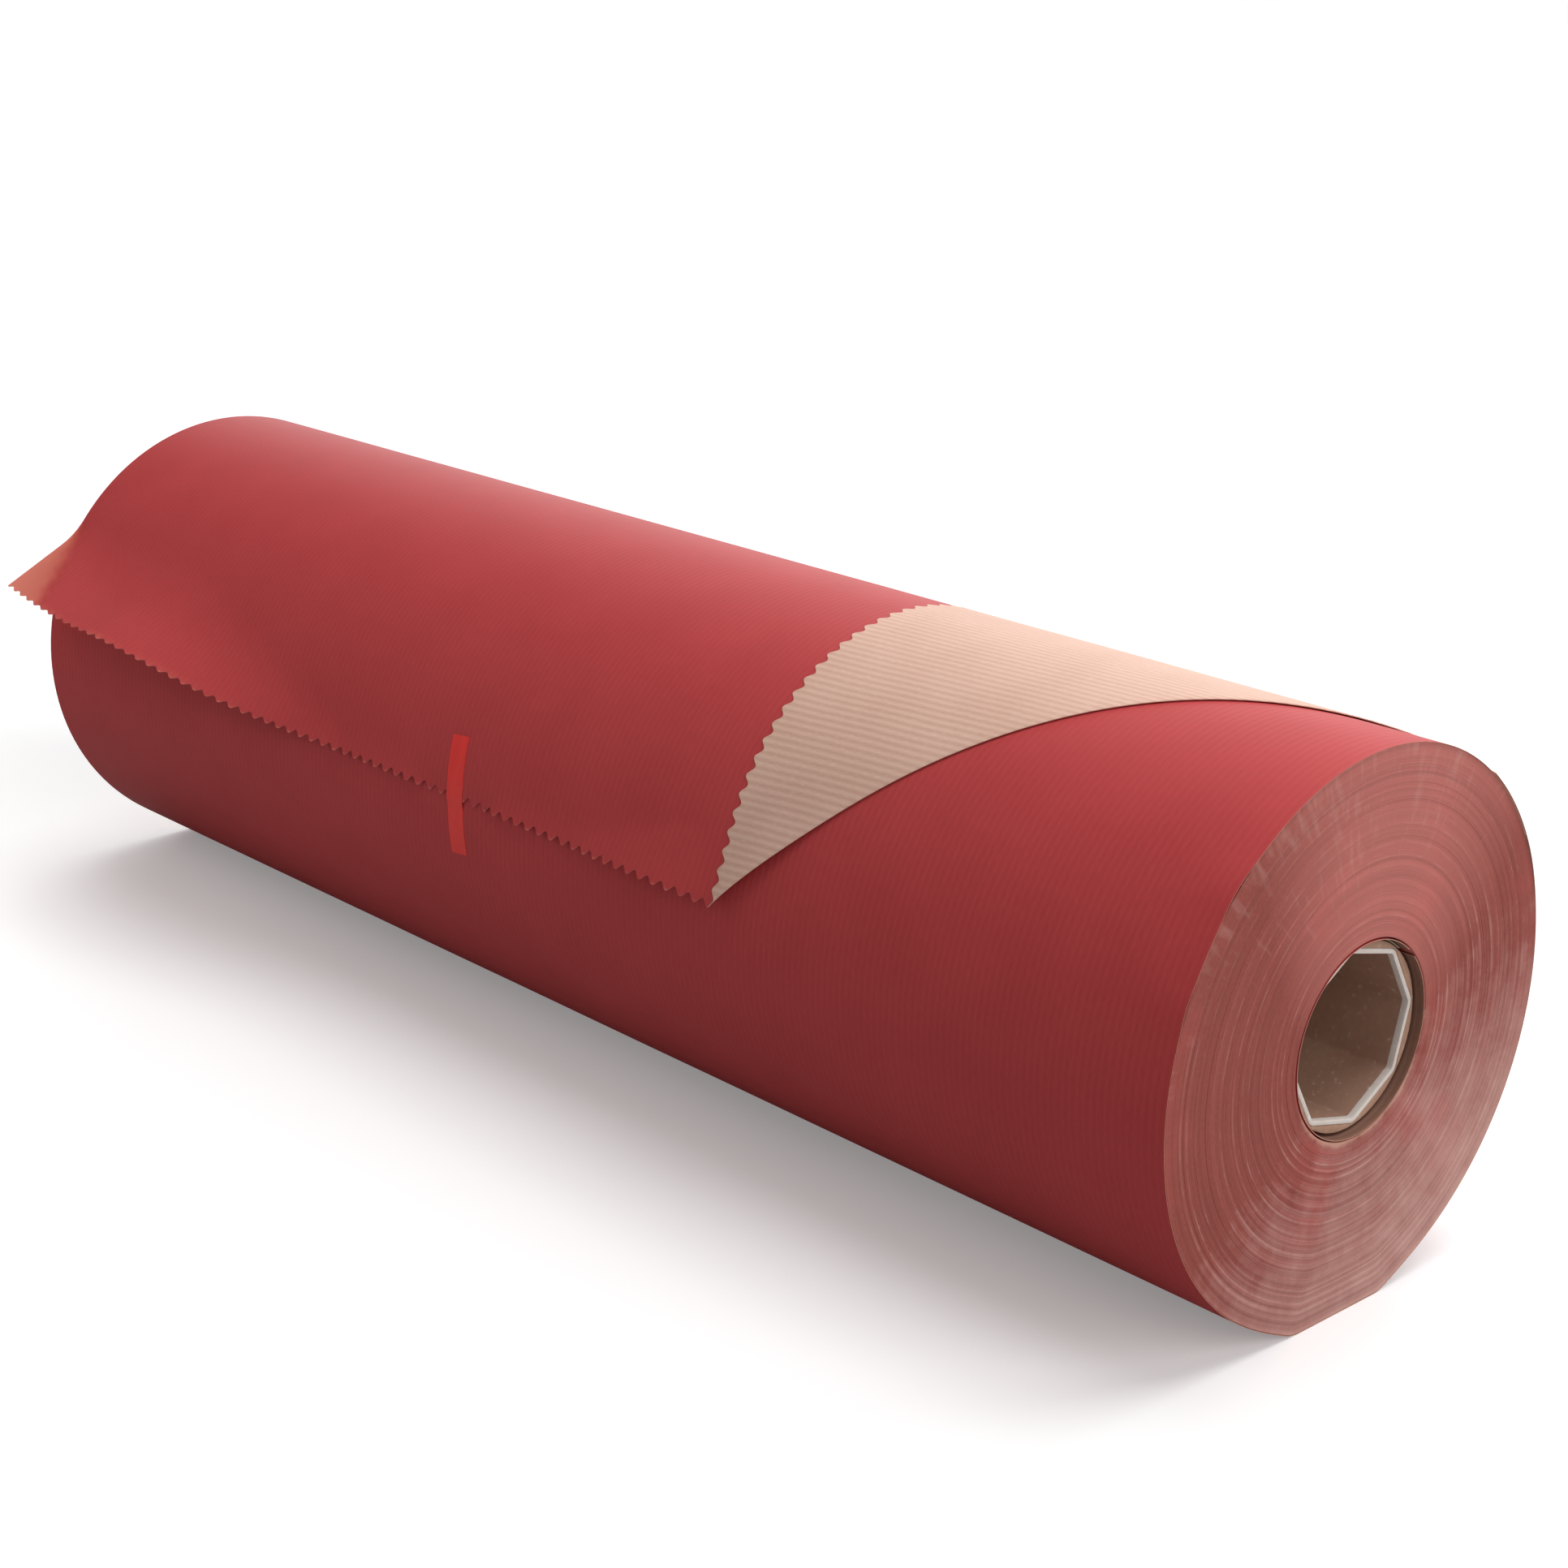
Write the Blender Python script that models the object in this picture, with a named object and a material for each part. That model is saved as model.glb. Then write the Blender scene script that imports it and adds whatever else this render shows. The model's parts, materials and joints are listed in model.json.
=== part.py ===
"""Counter roll of ribbed wrapping paper, wound on an eight-sided board core.

Metres, +Z up. The origin is in the middle of the flat that the roll rests on.
+X runs along the roll to the end whose corner is folded back, and the cut edge of
the sheet hangs on the -Y side, the front.

A sheet is drawn flat first, as x across the web and s along it, with w through its
thickness. It is then folded, wound round the body and lifted where it hangs loose.
"""

from math import asin, atan2, ceil, cos, exp, floor, pi, radians, sin, tan

import bmesh
import bpy
from mathutils import Vector
from mathutils.bvhtree import BVHTree

MM = 0.001

# Paper web. The real sheet is about 0.08 mm thick and is drawn thicker here.
WEB_WIDTH = 500 * MM
SHEET = 0.3 * MM
TOOTH_PITCH = 5.25 * MM
TOOTH_DEPTH = 2 * MM
TOOTH_POINTS = 6

# Wound body, with the flat that its weight presses into it.
WOUND_RADIUS = 74.6 * MM
FLAT_DEPTH = 0.25 * MM
FLAT_HALF_ANGLE = radians(13.5)
BULGE_FADE = radians(8)
STRIP_ANGLE = radians(3)

# Board core. Its bore has eight sides, and one corner is turned this far to the front.
BORE_APOTHEM = 21.25 * MM
BORE_SIDES = 8
BORE_CORNER = radians(8.5)
LINER_WALL = 1.35 * MM
CORE_RADIUS = 24.9 * MM
CORE_RECESS = 2.75 * MM

# Start of the web on the core.
START_TAPE = 0.2 * MM
START_TAPE_WIDTH = 15 * MM
FIRST_TURN = radians(352)
START_ANGLE = radians(-40)
LAP_STRIP_ANGLE = radians(4.5)

# Clearances.
SEAT_GAP = 0.3 * MM
LAP_GAP = 0.45 * MM
SLIT = 0.35 * MM

# Cut edge and folded corner. Arcs run round the roll from its top to the front.
CUT_ARC = 111.4 * MM
CUT_SLANT = radians(0.2)
FOLD_REACH = 153 * MM
CREASE_ANGLE = radians(46.8)
BEND_STEPS = 4
TIP_LEG = 45 * MM

# Free length of the sheet where it stands off the roll at the lower end of the crease.
CREASE_FREE = 25 * MM
CREASE_FREE_RUN = 60 * MM

# End of the outer turn under the leading sheet, and the climb over that end.
INNER_END_PAST_FOLD = 26 * MM
CLIMB = 25 * MM
CLIMB_LEAD = 3 * MM

# Loose corner at the far end, where the cut also runs a little short.
CORNER_SHORT = 5 * MM
CORNER_RUN = 60 * MM
LOOSE_LENGTH = 56.5 * MM
LOOSE_SIDE_LEG = 42 * MM
LOOSE_CUT_LEG = 47 * MM
LIFT_COLUMN = 12.5 * MM

# Tape that holds the cut edge down.
TAPE = 0.2 * MM
TAPE_WIDTH = 7.3 * MM
TAPE_FROM_NEAR_END = 267 * MM
TAPE_ON_SHEET = 18.9 * MM
TAPE_ON_ROLL = 16.6 * MM
TAPE_TILT = radians(5.6)
TAPE_STEP = 3 * MM

# Values that follow from the sizes above.
NEAR_END = WEB_WIDTH / 2
FAR_END = -WEB_WIDTH / 2
LAP_STEP = SHEET + LAP_GAP
FIRST_LIFT = SEAT_GAP
AXIS_HEIGHT = WOUND_RADIUS - FLAT_DEPTH + FIRST_LIFT + SHEET
DEVELOP_RADIUS = WOUND_RADIUS + FIRST_LIFT + LAP_STEP + SHEET / 2
TURN = 2 * pi * DEVELOP_RADIUS
LINER_CLEAR = BORE_APOTHEM + LINER_WALL + SEAT_GAP
FIRST_TURN_RADIUS = CORE_RADIUS + SEAT_GAP + START_TAPE + SEAT_GAP
WOUND_BORE = FIRST_TURN_RADIUS + SHEET + SEAT_GAP
FOLD_TIP = Vector((NEAR_END - FOLD_REACH, CUT_ARC))
CREASE_NORMAL = Vector((sin(CREASE_ANGLE), cos(CREASE_ANGLE)))
CREASE_END_ARC = CUT_ARC - FOLD_REACH * tan(CREASE_ANGLE)
BEND_HEIGHT = SHEET + LAP_GAP / 2
BEND_LENGTH = pi * (BEND_HEIGHT - SHEET / 2)
INNER_END_ARC = CREASE_END_ARC - INNER_END_PAST_FOLD
TAPE_X = NEAR_END - TAPE_FROM_NEAR_END
LOOSE_FLAT_END = FAR_END + LOOSE_CUT_LEG + TOOTH_PITCH
LOOSE_FADE_END = TAPE_X - TAPE_WIDTH
CREASE_LIFT_START = TAPE_X + TAPE_WIDTH

# Colours of the materials, linear, with their roughness.
RED_PRINT = ("red printed kraft", (0.30, 0.030, 0.033), 0.62)
KRAFT = ("brown kraft", (0.46, 0.28, 0.18), 0.80)
PAPER_EDGE = ("cut paper edges", (0.36, 0.12, 0.10), 0.85)
BROWN_BOARD = ("brown core board", (0.26, 0.15, 0.09), 0.85)
LIGHT_BOARD = ("light liner board", (0.55, 0.47, 0.40), 0.80)
RED_FILM = ("red adhesive film", (0.42, 0.020, 0.020), 0.35)
CLEAR_FILM = ("adhesive strip", (0.62, 0.56, 0.44), 0.45)


def smooth_step(value):
    """Eases from 0 to 1, and stays at 0 or 1 outside that range."""
    t = min(max(value, 0.0), 1.0)
    return t * t * (3 - 2 * t)


def outline_radius(angle, lift):
    """Distance from the axis of the pressed outline, at an angle from the top."""
    from_bottom = abs((angle % (2 * pi)) - pi)
    flat_height = WOUND_RADIUS - FLAT_DEPTH + lift
    if from_bottom <= FLAT_HALF_ANGLE:
        return flat_height / cos(from_bottom)
    round_radius = WOUND_RADIUS + lift
    bulge = flat_height / cos(FLAT_HALF_ANGLE) - round_radius
    return round_radius + bulge * exp((FLAT_HALF_ANGLE - from_bottom) / BULGE_FADE)


def strip_angles():
    """Angles from the top of the lines between flat strips, over one turn."""
    free = 2 * (pi - FLAT_HALF_ANGLE)
    count = round(free / STRIP_ANGLE)
    return [FLAT_HALF_ANGLE - pi + free * i / count for i in range(count + 1)]


def strip_arcs(low, high):
    """Arcs between low and high where the sheet crosses a line between strips."""
    arcs = []
    for turn in range(floor(low / TURN) - 1, ceil(high / TURN) + 2):
        arcs += [angle * DEVELOP_RADIUS + turn * TURN for angle in strip_angles()]
    return [arc for arc in arcs if low < arc < high]


def wound_point(x, arc, lift):
    """Place on the roll of a point at an arc from the top, lifted off the body."""
    angle = arc / DEVELOP_RADIUS
    radius = outline_radius(angle, lift)
    return Vector((x, -radius * sin(angle), AXIS_HEIGHT + radius * cos(angle)))


def along_arc(arc):
    """Direction in which the web runs on at an arc from the top."""
    angle = arc / DEVELOP_RADIUS
    return Vector((0, -cos(angle), -sin(angle)))


def outward(arc):
    """Direction away from the axis at an arc from the top."""
    angle = arc / DEVELOP_RADIUS
    return Vector((0, -sin(angle), cos(angle)))


def lap_lift(arc):
    """Lift of the sheet's inner face, which climbs over the end of its own turn."""
    climb_end = INNER_END_ARC - CLIMB_LEAD
    return FIRST_LIFT + LAP_STEP * smooth_step((arc - climb_end + CLIMB) / CLIMB)


def cut_line(x):
    """Arc of the tooth tips of the cut edge, a little out of square."""
    short = max((FAR_END + CORNER_RUN - x) / CORNER_RUN, 0)
    return CUT_ARC + (x - FOLD_TIP.x) * tan(CUT_SLANT) - CORNER_SHORT * short ** 2


def tooth_edge(x):
    """Arc of the cut edge with its teeth, one of which ends at the fold tip."""
    wave = (1 - cos(2 * pi * (x - FOLD_TIP.x) / TOOTH_PITCH)) / 2
    return cut_line(x) - TOOTH_DEPTH * wave


def valley_near(x):
    """The valley between teeth that is nearest to x."""
    first = FOLD_TIP.x + TOOTH_PITCH / 2
    return first + TOOTH_PITCH * round((x - first) / TOOTH_PITCH)


def cut_edge(start, end):
    """Points of the cut edge from one x to a larger one."""
    step = TOOTH_PITCH / TOOTH_POINTS
    first = ceil((start - FOLD_TIP.x) / step + 0.25)
    last = floor((end - FOLD_TIP.x) / step - 0.25)
    inner = [FOLD_TIP.x + step * i for i in range(first, last + 1)]
    return [(x, tooth_edge(x)) for x in [start, *inner, end]]


def front_edge(x):
    """Arc where the sheet ends on the front: at its cut, or at the crease."""
    return min(cut_line(x), CUT_ARC - (x - FOLD_TIP.x) * tan(CREASE_ANGLE))


def departure(x):
    """Arc where the sheet leaves the roll, at the sheet's end where it lies down."""
    edge = front_edge(x)
    if x < LOOSE_FADE_END:
        rest = cut_line(FAR_END) - LOOSE_LENGTH
        return rest + (edge - rest) * smooth_step((x - LOOSE_FLAT_END) / (LOOSE_FADE_END - LOOSE_FLAT_END))
    rise = smooth_step((x - CREASE_LIFT_START) / (FOLD_TIP.x - CREASE_LIFT_START))
    fall = smooth_step((FOLD_TIP.x + CREASE_FREE_RUN - x) / CREASE_FREE_RUN)
    return edge - CREASE_FREE * min(rise, fall)


def sheet_point(x, arc, height):
    """Place of a point of the leading sheet, at a height above its inner face."""
    leave = departure(x)
    if arc <= leave or leave == front_edge(x):
        return wound_point(x, arc, lap_lift(arc) + height)
    return wound_point(x, leave, lap_lift(leave) + height) + (arc - leave) * along_arc(leave)


def crease_distance(x, arc):
    """Distance past the crease, towards the corner that is folded back."""
    return CREASE_NORMAL.dot(Vector((x, arc)) - FOLD_TIP)


def folded(co):
    """Folds a flat point over the crease, round a bend that clears the lap gap."""
    past = crease_distance(co.x, co.y)
    if past <= 0:
        return co.copy()
    reach = BEND_HEIGHT - co.z
    bend = min(pi * past / BEND_LENGTH, pi)
    across = reach * sin(bend) - max(past - BEND_LENGTH, 0)
    shift = (across - past) * CREASE_NORMAL
    return Vector((co.x + shift.x, co.y + shift.y, BEND_HEIGHT - reach * cos(bend)))


def new_material(finish):
    """Material with one colour and roughness, shared by the pieces that use it."""
    name, colour, roughness = finish
    material = bpy.data.materials.get(name)
    if material is None:
        material = bpy.data.materials.new(name)
        material.use_nodes = True
        shader = material.node_tree.nodes["Principled BSDF"]
        shader.inputs["Base Color"].default_value = (*colour, 1)
        shader.inputs["Roughness"].default_value = roughness
        shader.inputs["Metallic"].default_value = 0
    return material


def add_piece(name, bm, finishes, pivot=None):
    """Makes an object of a mesh, with its origin on the pivot where it has one."""
    mesh = bpy.data.meshes.new(name)
    if pivot is not None:
        bmesh.ops.translate(bm, verts=bm.verts, vec=-pivot)
    bmesh.ops.recalc_face_normals(bm, faces=bm.faces)
    if bm.calc_volume(signed=True) < 0:
        bmesh.ops.reverse_faces(bm, faces=bm.faces)
    bm.to_mesh(mesh)
    bm.free()
    mesh.shade_smooth()
    mesh.set_sharp_from_angle(angle=radians(30))
    for finish in finishes:
        mesh.materials.append(new_material(finish))
    piece = bpy.data.objects.new(name, mesh)
    piece.location = pivot if pivot is not None else (0, 0, 0)
    bpy.context.collection.objects.link(piece)
    return piece


def score(bm, faces, point, normal):
    """Adds the edges where a plane crosses the given faces."""
    edges = {edge for face in faces for edge in face.edges}
    verts = {vert for face in faces for vert in face.verts}
    geometry = [*verts, *edges, *faces]
    bmesh.ops.bisect_plane(bm, geom=geometry, plane_co=point, plane_no=normal, dist=1e-7)


def flat_sheet(outline, teeth):
    """Flat face of an outline, with its row of teeth parted from the plain sheet."""
    bm = bmesh.new()
    bm.faces.new([bm.verts.new((x, arc, 0)) for x, arc in outline])
    if teeth:
        root = Vector((FOLD_TIP.x, CUT_ARC - 1.5 * TOOTH_DEPTH - CORNER_SHORT, 0))
        across = Vector((-sin(CUT_SLANT), cos(CUT_SLANT), 0))
        score(bm, list(bm.faces), root, across)
        row = [f for f in bm.faces if across.dot(f.calc_center_median() - root) > 0]
        low = min(v.co.x for f in row for v in f.verts)
        high = max(v.co.x for f in row for v in f.verts)
        x = valley_near(low) + TOOTH_PITCH
        while x < high - TOOTH_PITCH / 2:
            row = [f for f in bm.faces if across.dot(f.calc_center_median() - root) > 0]
            score(bm, crossing(row, 0, x), (x, 0, 0), (1, 0, 0))
            x += TOOTH_PITCH
    return bm


def thicken(bm, thickness):
    """Gives a flat sheet its thickness; the printed face is the first material."""
    sheet = list(bm.faces)
    raised = bmesh.ops.extrude_face_region(bm, geom=sheet, use_keep_orig=True)["geom"]
    tops = [g for g in raised if isinstance(g, bmesh.types.BMFace)]
    lifted = [g for g in raised if isinstance(g, bmesh.types.BMVert)]
    bmesh.ops.translate(bm, verts=lifted, vec=(0, 0, thickness))
    printed = set(tops)
    for face in bm.faces:
        face.material_index = 0 if face in printed else 1


def crossing(faces, axis, value):
    """The faces that lie on both sides of a value along an axis."""
    spans = [(min(v.co[axis] for v in f.verts), max(v.co[axis] for v in f.verts), f) for f in faces]
    return [face for low, high, face in spans if low < value < high]


def wind(bm, place, extra_arcs=()):
    """Cuts a thick flat sheet into strips and puts every point in its place."""
    low = min(v.co.y for v in bm.verts)
    high = max(v.co.y for v in bm.verts)
    for arc in [*strip_arcs(low, high), *extra_arcs]:
        score(bm, crossing(bm.faces, 1, arc), (0, arc, 0), (0, 1, 0))
    bmesh.ops.triangulate(bm, faces=bm.faces)
    for vert in bm.verts:
        vert.co = place(vert.co.x, vert.co.y, vert.co.z)


def score_columns(bm):
    """Scores the part of the sheet that stands off, so that it bends across the web."""
    start = cut_line(FAR_END) - LOOSE_LENGTH
    score(bm, crossing(bm.faces, 1, start), (0, start, 0), (0, 1, 0))
    count = floor((FOLD_TIP.x + CREASE_FREE_RUN - FAR_END) / LIFT_COLUMN)
    for i in range(1, count + 1):
        x = FAR_END + LIFT_COLUMN * i
        lifted = [f for f in bm.faces if f.calc_center_median().y > start]
        score(bm, crossing(lifted, 0, x), (x, 0, 0), (1, 0, 0))


def loose_slit():
    """Ends of the line that the loose corner bends on: on the side, on the cut edge."""
    valley = valley_near(FAR_END + LOOSE_CUT_LEG)
    return Vector((FAR_END, cut_line(FAR_END) - LOOSE_SIDE_LEG)), Vector((valley, tooth_edge(valley)))


def tip_slit():
    """Ends of the line that the folded tip bends on: on the cut edge, on the side."""
    valley = valley_near(NEAR_END - TIP_LEG)
    start = Vector((valley, tooth_edge(valley)))
    return start, Vector((NEAR_END, start.y - (NEAR_END - valley) * tan(CREASE_ANGLE)))


def slit_shift(start, end):
    """Shifts across and along the web that move a slanted line by half a slit."""
    slope = atan2(abs(end.y - start.y), abs(end.x - start.x))
    return SLIT / 2 / sin(slope), SLIT / 2 / cos(slope)


def measure_lap_gap(bm, flat_arcs):
    """Least gap of the outer turn to itself, from points to the lap below."""
    inner_lap_top = INNER_END_ARC
    below = []
    above = []
    for face in bm.faces:
        arcs = [flat_arcs[v.index] for v in face.verts]
        if max(arcs) < inner_lap_top - CLIMB:
            below.append([v.index for v in face.verts])
        elif min(arcs) > inner_lap_top - CLIMB_LEAD:
            above.append(face)
    tree = BVHTree.FromPolygons([v.co for v in bm.verts], below)
    points = [v.co for face in above for v in face.verts]
    points += [face.calc_center_median() for face in above]
    return min(tree.find_nearest(point)[3] for point in points)


def outer_turn():
    """The last turn of the web: once round, over its own start, to the cut edge."""
    tip_start, tip_end = tip_slit()
    tip_x, tip_s = slit_shift(tip_start, tip_end)
    loose_side, loose_cut = loose_slit()
    loose_x, loose_s = slit_shift(loose_side, loose_cut)
    start = INNER_END_ARC - TURN
    edge = cut_edge(loose_cut.x + loose_x, tip_start.x - tip_x)
    outline = [(FAR_END, start), (NEAR_END, start), (NEAR_END, tip_end.y - tip_s)]
    outline += [*reversed(edge), (FAR_END, loose_side.y - loose_s)]
    bm = flat_sheet(outline, teeth=True)
    for step in range(BEND_STEPS + 1):
        line = FOLD_TIP + CREASE_NORMAL * (BEND_LENGTH * step / BEND_STEPS)
        score(bm, list(bm.faces), (*line, 0), (*CREASE_NORMAL, 0))
    thicken(bm, SHEET)
    for vert in bm.verts:
        vert.co = folded(vert.co)
    score_columns(bm)
    flat_arcs = []

    def place(x, arc, height):
        flat_arcs.append(arc)
        return sheet_point(x, arc, height)

    wind(bm, place)
    bm.verts.index_update()
    print(f"outer_turn least gap to itself {measure_lap_gap(bm, flat_arcs) / MM:.3f} mm")
    return add_piece("outer_turn", bm, [RED_PRINT, KRAFT])


def loose_corner():
    """The far corner of the cut edge, which stands off the roll and springs."""
    side, cut = loose_slit()
    shift_x, shift_s = slit_shift(side, cut)
    edge = cut_edge(FAR_END, cut.x - shift_x)
    bm = flat_sheet([(FAR_END, side.y + shift_s), *reversed(edge)], teeth=True)
    thicken(bm, SHEET)
    wind(bm, sheet_point)
    ends = [sheet_point(point.x, point.y, SHEET / 2) for point in (side, cut)]
    pivot = (ends[0] + ends[1]) / 2
    line = (ends[1] - ends[0]).normalized()
    normal = outward(departure(FAR_END))
    report_hinge("loose_corner", pivot, line, sheet_point(FAR_END, cut_line(FAR_END), 0), normal)
    return add_piece("loose_corner", bm, [RED_PRINT, KRAFT], pivot)


def folded_tip():
    """The tip of the folded corner, which can be lifted off the roll."""
    start, end = tip_slit()
    shift_x, shift_s = slit_shift(start, end)
    edge = cut_edge(start.x + shift_x, NEAR_END)
    bm = flat_sheet([*edge, (NEAR_END, end.y + shift_s)], teeth=True)
    thicken(bm, SHEET)
    for vert in bm.verts:
        vert.co = folded(vert.co)
    wind(bm, sheet_point)
    middle = (start + end) / 2
    hinge = folded(Vector((middle.x, middle.y, SHEET / 2)))
    pivot = sheet_point(hinge.x, hinge.y, hinge.z)
    tangent = along_arc(hinge.y)
    line = Vector((cos(CREASE_ANGLE), 0, 0)) - sin(CREASE_ANGLE) * tangent
    corner = folded(Vector((NEAR_END, cut_line(NEAR_END), SHEET / 2)))
    report_hinge("folded_tip", pivot, line, sheet_point(corner.x, corner.y, corner.z), outward(hinge.y))
    return add_piece("folded_tip", bm, [RED_PRINT, KRAFT], pivot)


def report_hinge(name, pivot, line, free_point, normal):
    """Prints a hinge whose positive turn lifts the free point along the normal."""
    reach = free_point - pivot
    reach -= reach.dot(line) * line
    axis = line if line.cross(reach).dot(normal) > 0 else -line
    place = ", ".join(f"{value:.5f}" for value in pivot)
    turn = ", ".join(f"{value:.5f}" for value in axis)
    print(f"{name} hinge at [{place}] axis [{turn}]")


def tape_lift(arc):
    """Lift of the tape's inner face: over the sheet, then down on the turn below."""
    tip = cut_line(TAPE_X) + SEAT_GAP
    on_sheet = lap_lift(arc) + SHEET + SEAT_GAP
    return on_sheet - LAP_STEP * smooth_step((arc - tip) / TAPE_STEP)


def closing_tape():
    """Short strip of film across the cut edge."""
    along = Vector((sin(TAPE_TILT), cos(TAPE_TILT)))
    across = Vector((cos(TAPE_TILT), -sin(TAPE_TILT))) * TAPE_WIDTH / 2
    middle = Vector((TAPE_X, cut_line(TAPE_X)))
    top = middle - along * TAPE_ON_SHEET
    bottom = middle + along * TAPE_ON_ROLL
    bm = flat_sheet([top - across, top + across, bottom + across, bottom - across], teeth=False)
    thicken(bm, TAPE)
    tip = cut_line(TAPE_X) + SEAT_GAP
    steps = [tip + TAPE_STEP * part for part in (0, 0.25, 0.5, 0.75, 1)]
    wind(bm, lambda x, arc, w: wound_point(x, arc, tape_lift(arc) + w), steps)
    return add_piece("closing_tape", bm, [RED_FILM])


def ring_points(radius, angles):
    """Points of a ring in the YZ plane, at angles from the top to the front."""
    return [(-radius(a) * sin(a), AXIS_HEIGHT + radius(a) * cos(a)) for a in angles]


def add_tube(name, outer, inner, half_length, finish, closed=True):
    """Tube along X between two rings, or two arcs, with as many points as each other."""
    bm = bmesh.new()
    rings = [[bm.verts.new((-half_length, y, z)) for y, z in ring] for ring in (outer, inner)]
    count = len(outer)
    for i in range(count if closed else count - 1):
        j = (i + 1) % count
        bm.faces.new((rings[0][i], rings[0][j], rings[1][j], rings[1][i]))
    raised = bmesh.ops.extrude_face_region(bm, geom=list(bm.faces), use_keep_orig=True)["geom"]
    moved = [g for g in raised if isinstance(g, bmesh.types.BMVert)]
    bmesh.ops.translate(bm, verts=moved, vec=(2 * half_length, 0, 0))
    return add_piece(name, bm, [finish])


def wound_paper():
    """All the turns between the first and the last, as one pressed body."""
    across_flat = ceil(2 * FLAT_HALF_ANGLE / STRIP_ANGLE)
    angles = strip_angles()
    angles += [angles[-1] + 2 * FLAT_HALF_ANGLE * i / across_flat for i in range(1, across_flat)]
    outer = ring_points(lambda angle: outline_radius(angle, 0), angles)
    inner = ring_points(lambda angle: WOUND_BORE, angles)
    return add_tube("wound_paper", outer, inner, WEB_WIDTH / 2, PAPER_EDGE)


def bore_angles(parts):
    """Angles from the top of the bore's corners, with points on its sides between."""
    count = BORE_SIDES * parts
    return [BORE_CORNER + 2 * pi * i / count for i in range(count)]


def eight_sided(apothem):
    """Distance from the axis of an eight-sided outline, at an angle from the top."""
    half = pi / BORE_SIDES

    def radius(angle):
        off = (angle - BORE_CORNER) % (2 * half) - half
        return apothem / cos(off)

    return radius


def core_liner():
    """Thin light board tube with eight flat sides, the bore of the roll."""
    angles = bore_angles(1)
    outer = ring_points(eight_sided(BORE_APOTHEM + LINER_WALL), angles)
    inner = ring_points(eight_sided(BORE_APOTHEM), angles)
    return add_tube("core_liner", outer, inner, WEB_WIDTH / 2 - CORE_RECESS, LIGHT_BOARD)


def core_tube():
    """Brown board tube round the liner, round on the outside."""
    angles = bore_angles(10)
    outer = ring_points(lambda angle: CORE_RADIUS, angles)
    inner = ring_points(eight_sided(LINER_CLEAR), angles)
    return add_tube("core_tube", outer, inner, WEB_WIDTH / 2 - CORE_RECESS, BROWN_BOARD)


def open_lap(name, radius, thickness, start, sweep, half_length, finish):
    """Curved sheet round the core that stops short of a full ring."""
    steps = ceil(sweep / LAP_STRIP_ANGLE)
    angles = [start + sweep * i / steps for i in range(steps + 1)]
    outer = ring_points(lambda angle: radius + thickness, angles)
    inner = ring_points(lambda angle: radius, angles)
    return add_tube(name, outer, inner, half_length, finish, closed=False)


def first_turn():
    """The first turn of the web on the core, its kraft face inwards."""
    return open_lap("first_turn", FIRST_TURN_RADIUS, SHEET, START_ANGLE, FIRST_TURN, WEB_WIDTH / 2, KRAFT)


def start_tape():
    """Strip that holds the start of the web on the core."""
    radius = CORE_RADIUS + SEAT_GAP
    sweep = 2 * asin(START_TAPE_WIDTH / 2 / radius)
    length = WEB_WIDTH / 2 - CORE_RECESS
    return open_lap("start_tape", radius, START_TAPE, START_ANGLE, sweep, length, CLEAR_FILM)


def clear_scene():
    """Removes the objects that the scene starts with."""
    for old in list(bpy.data.objects):
        bpy.data.objects.remove(old, do_unlink=True)


def main():
    """Builds every piece of the roll."""
    clear_scene()
    for build in (core_liner, core_tube, start_tape, first_turn, wound_paper):
        build()
    for build in (outer_turn, loose_corner, folded_tip, closing_tape):
        build()


main()
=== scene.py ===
"""Dressed model of a counter roll of ribbed wrapping paper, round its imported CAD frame.

The roll lies along X on the flat that its weight has pressed into it. Its printed web is
drawn flat first, as x across the web, s along it from the top of the roll to the front,
and w through its thickness. It is then folded, wound and lifted where it hangs loose.
"""

from __future__ import annotations

import json
import logging
import random
from dataclasses import dataclass, field
from enum import Enum
from math import ceil, cos, exp, log, pi, radians, sin, tan

import bmesh
import bpy
from mathutils import Matrix, Vector, noise

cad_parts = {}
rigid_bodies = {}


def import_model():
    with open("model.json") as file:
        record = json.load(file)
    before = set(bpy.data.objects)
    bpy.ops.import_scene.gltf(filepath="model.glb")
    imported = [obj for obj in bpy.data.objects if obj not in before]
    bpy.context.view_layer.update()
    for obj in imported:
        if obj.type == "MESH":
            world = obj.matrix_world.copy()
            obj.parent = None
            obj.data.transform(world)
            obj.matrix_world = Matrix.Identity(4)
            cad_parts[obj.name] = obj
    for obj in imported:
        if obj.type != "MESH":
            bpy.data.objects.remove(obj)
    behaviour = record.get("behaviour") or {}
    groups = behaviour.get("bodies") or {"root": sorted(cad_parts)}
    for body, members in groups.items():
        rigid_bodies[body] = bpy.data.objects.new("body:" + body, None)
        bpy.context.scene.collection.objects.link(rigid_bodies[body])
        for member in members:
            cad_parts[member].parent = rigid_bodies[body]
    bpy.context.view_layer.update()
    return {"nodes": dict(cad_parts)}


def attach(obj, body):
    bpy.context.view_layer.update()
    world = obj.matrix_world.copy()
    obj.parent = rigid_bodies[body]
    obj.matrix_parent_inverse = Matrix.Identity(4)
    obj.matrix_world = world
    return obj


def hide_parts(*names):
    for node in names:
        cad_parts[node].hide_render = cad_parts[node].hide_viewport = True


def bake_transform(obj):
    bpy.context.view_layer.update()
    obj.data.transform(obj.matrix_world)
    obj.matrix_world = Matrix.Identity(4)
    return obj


LOG = logging.getLogger("paper_roll")
MM = 0.001
AXIS_HEIGHT = 74.95 * MM
WEB_MAP = "web"
TURN_RADIUS = "turn_radius"
FREE = "free"
WORN = "worn"

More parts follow.
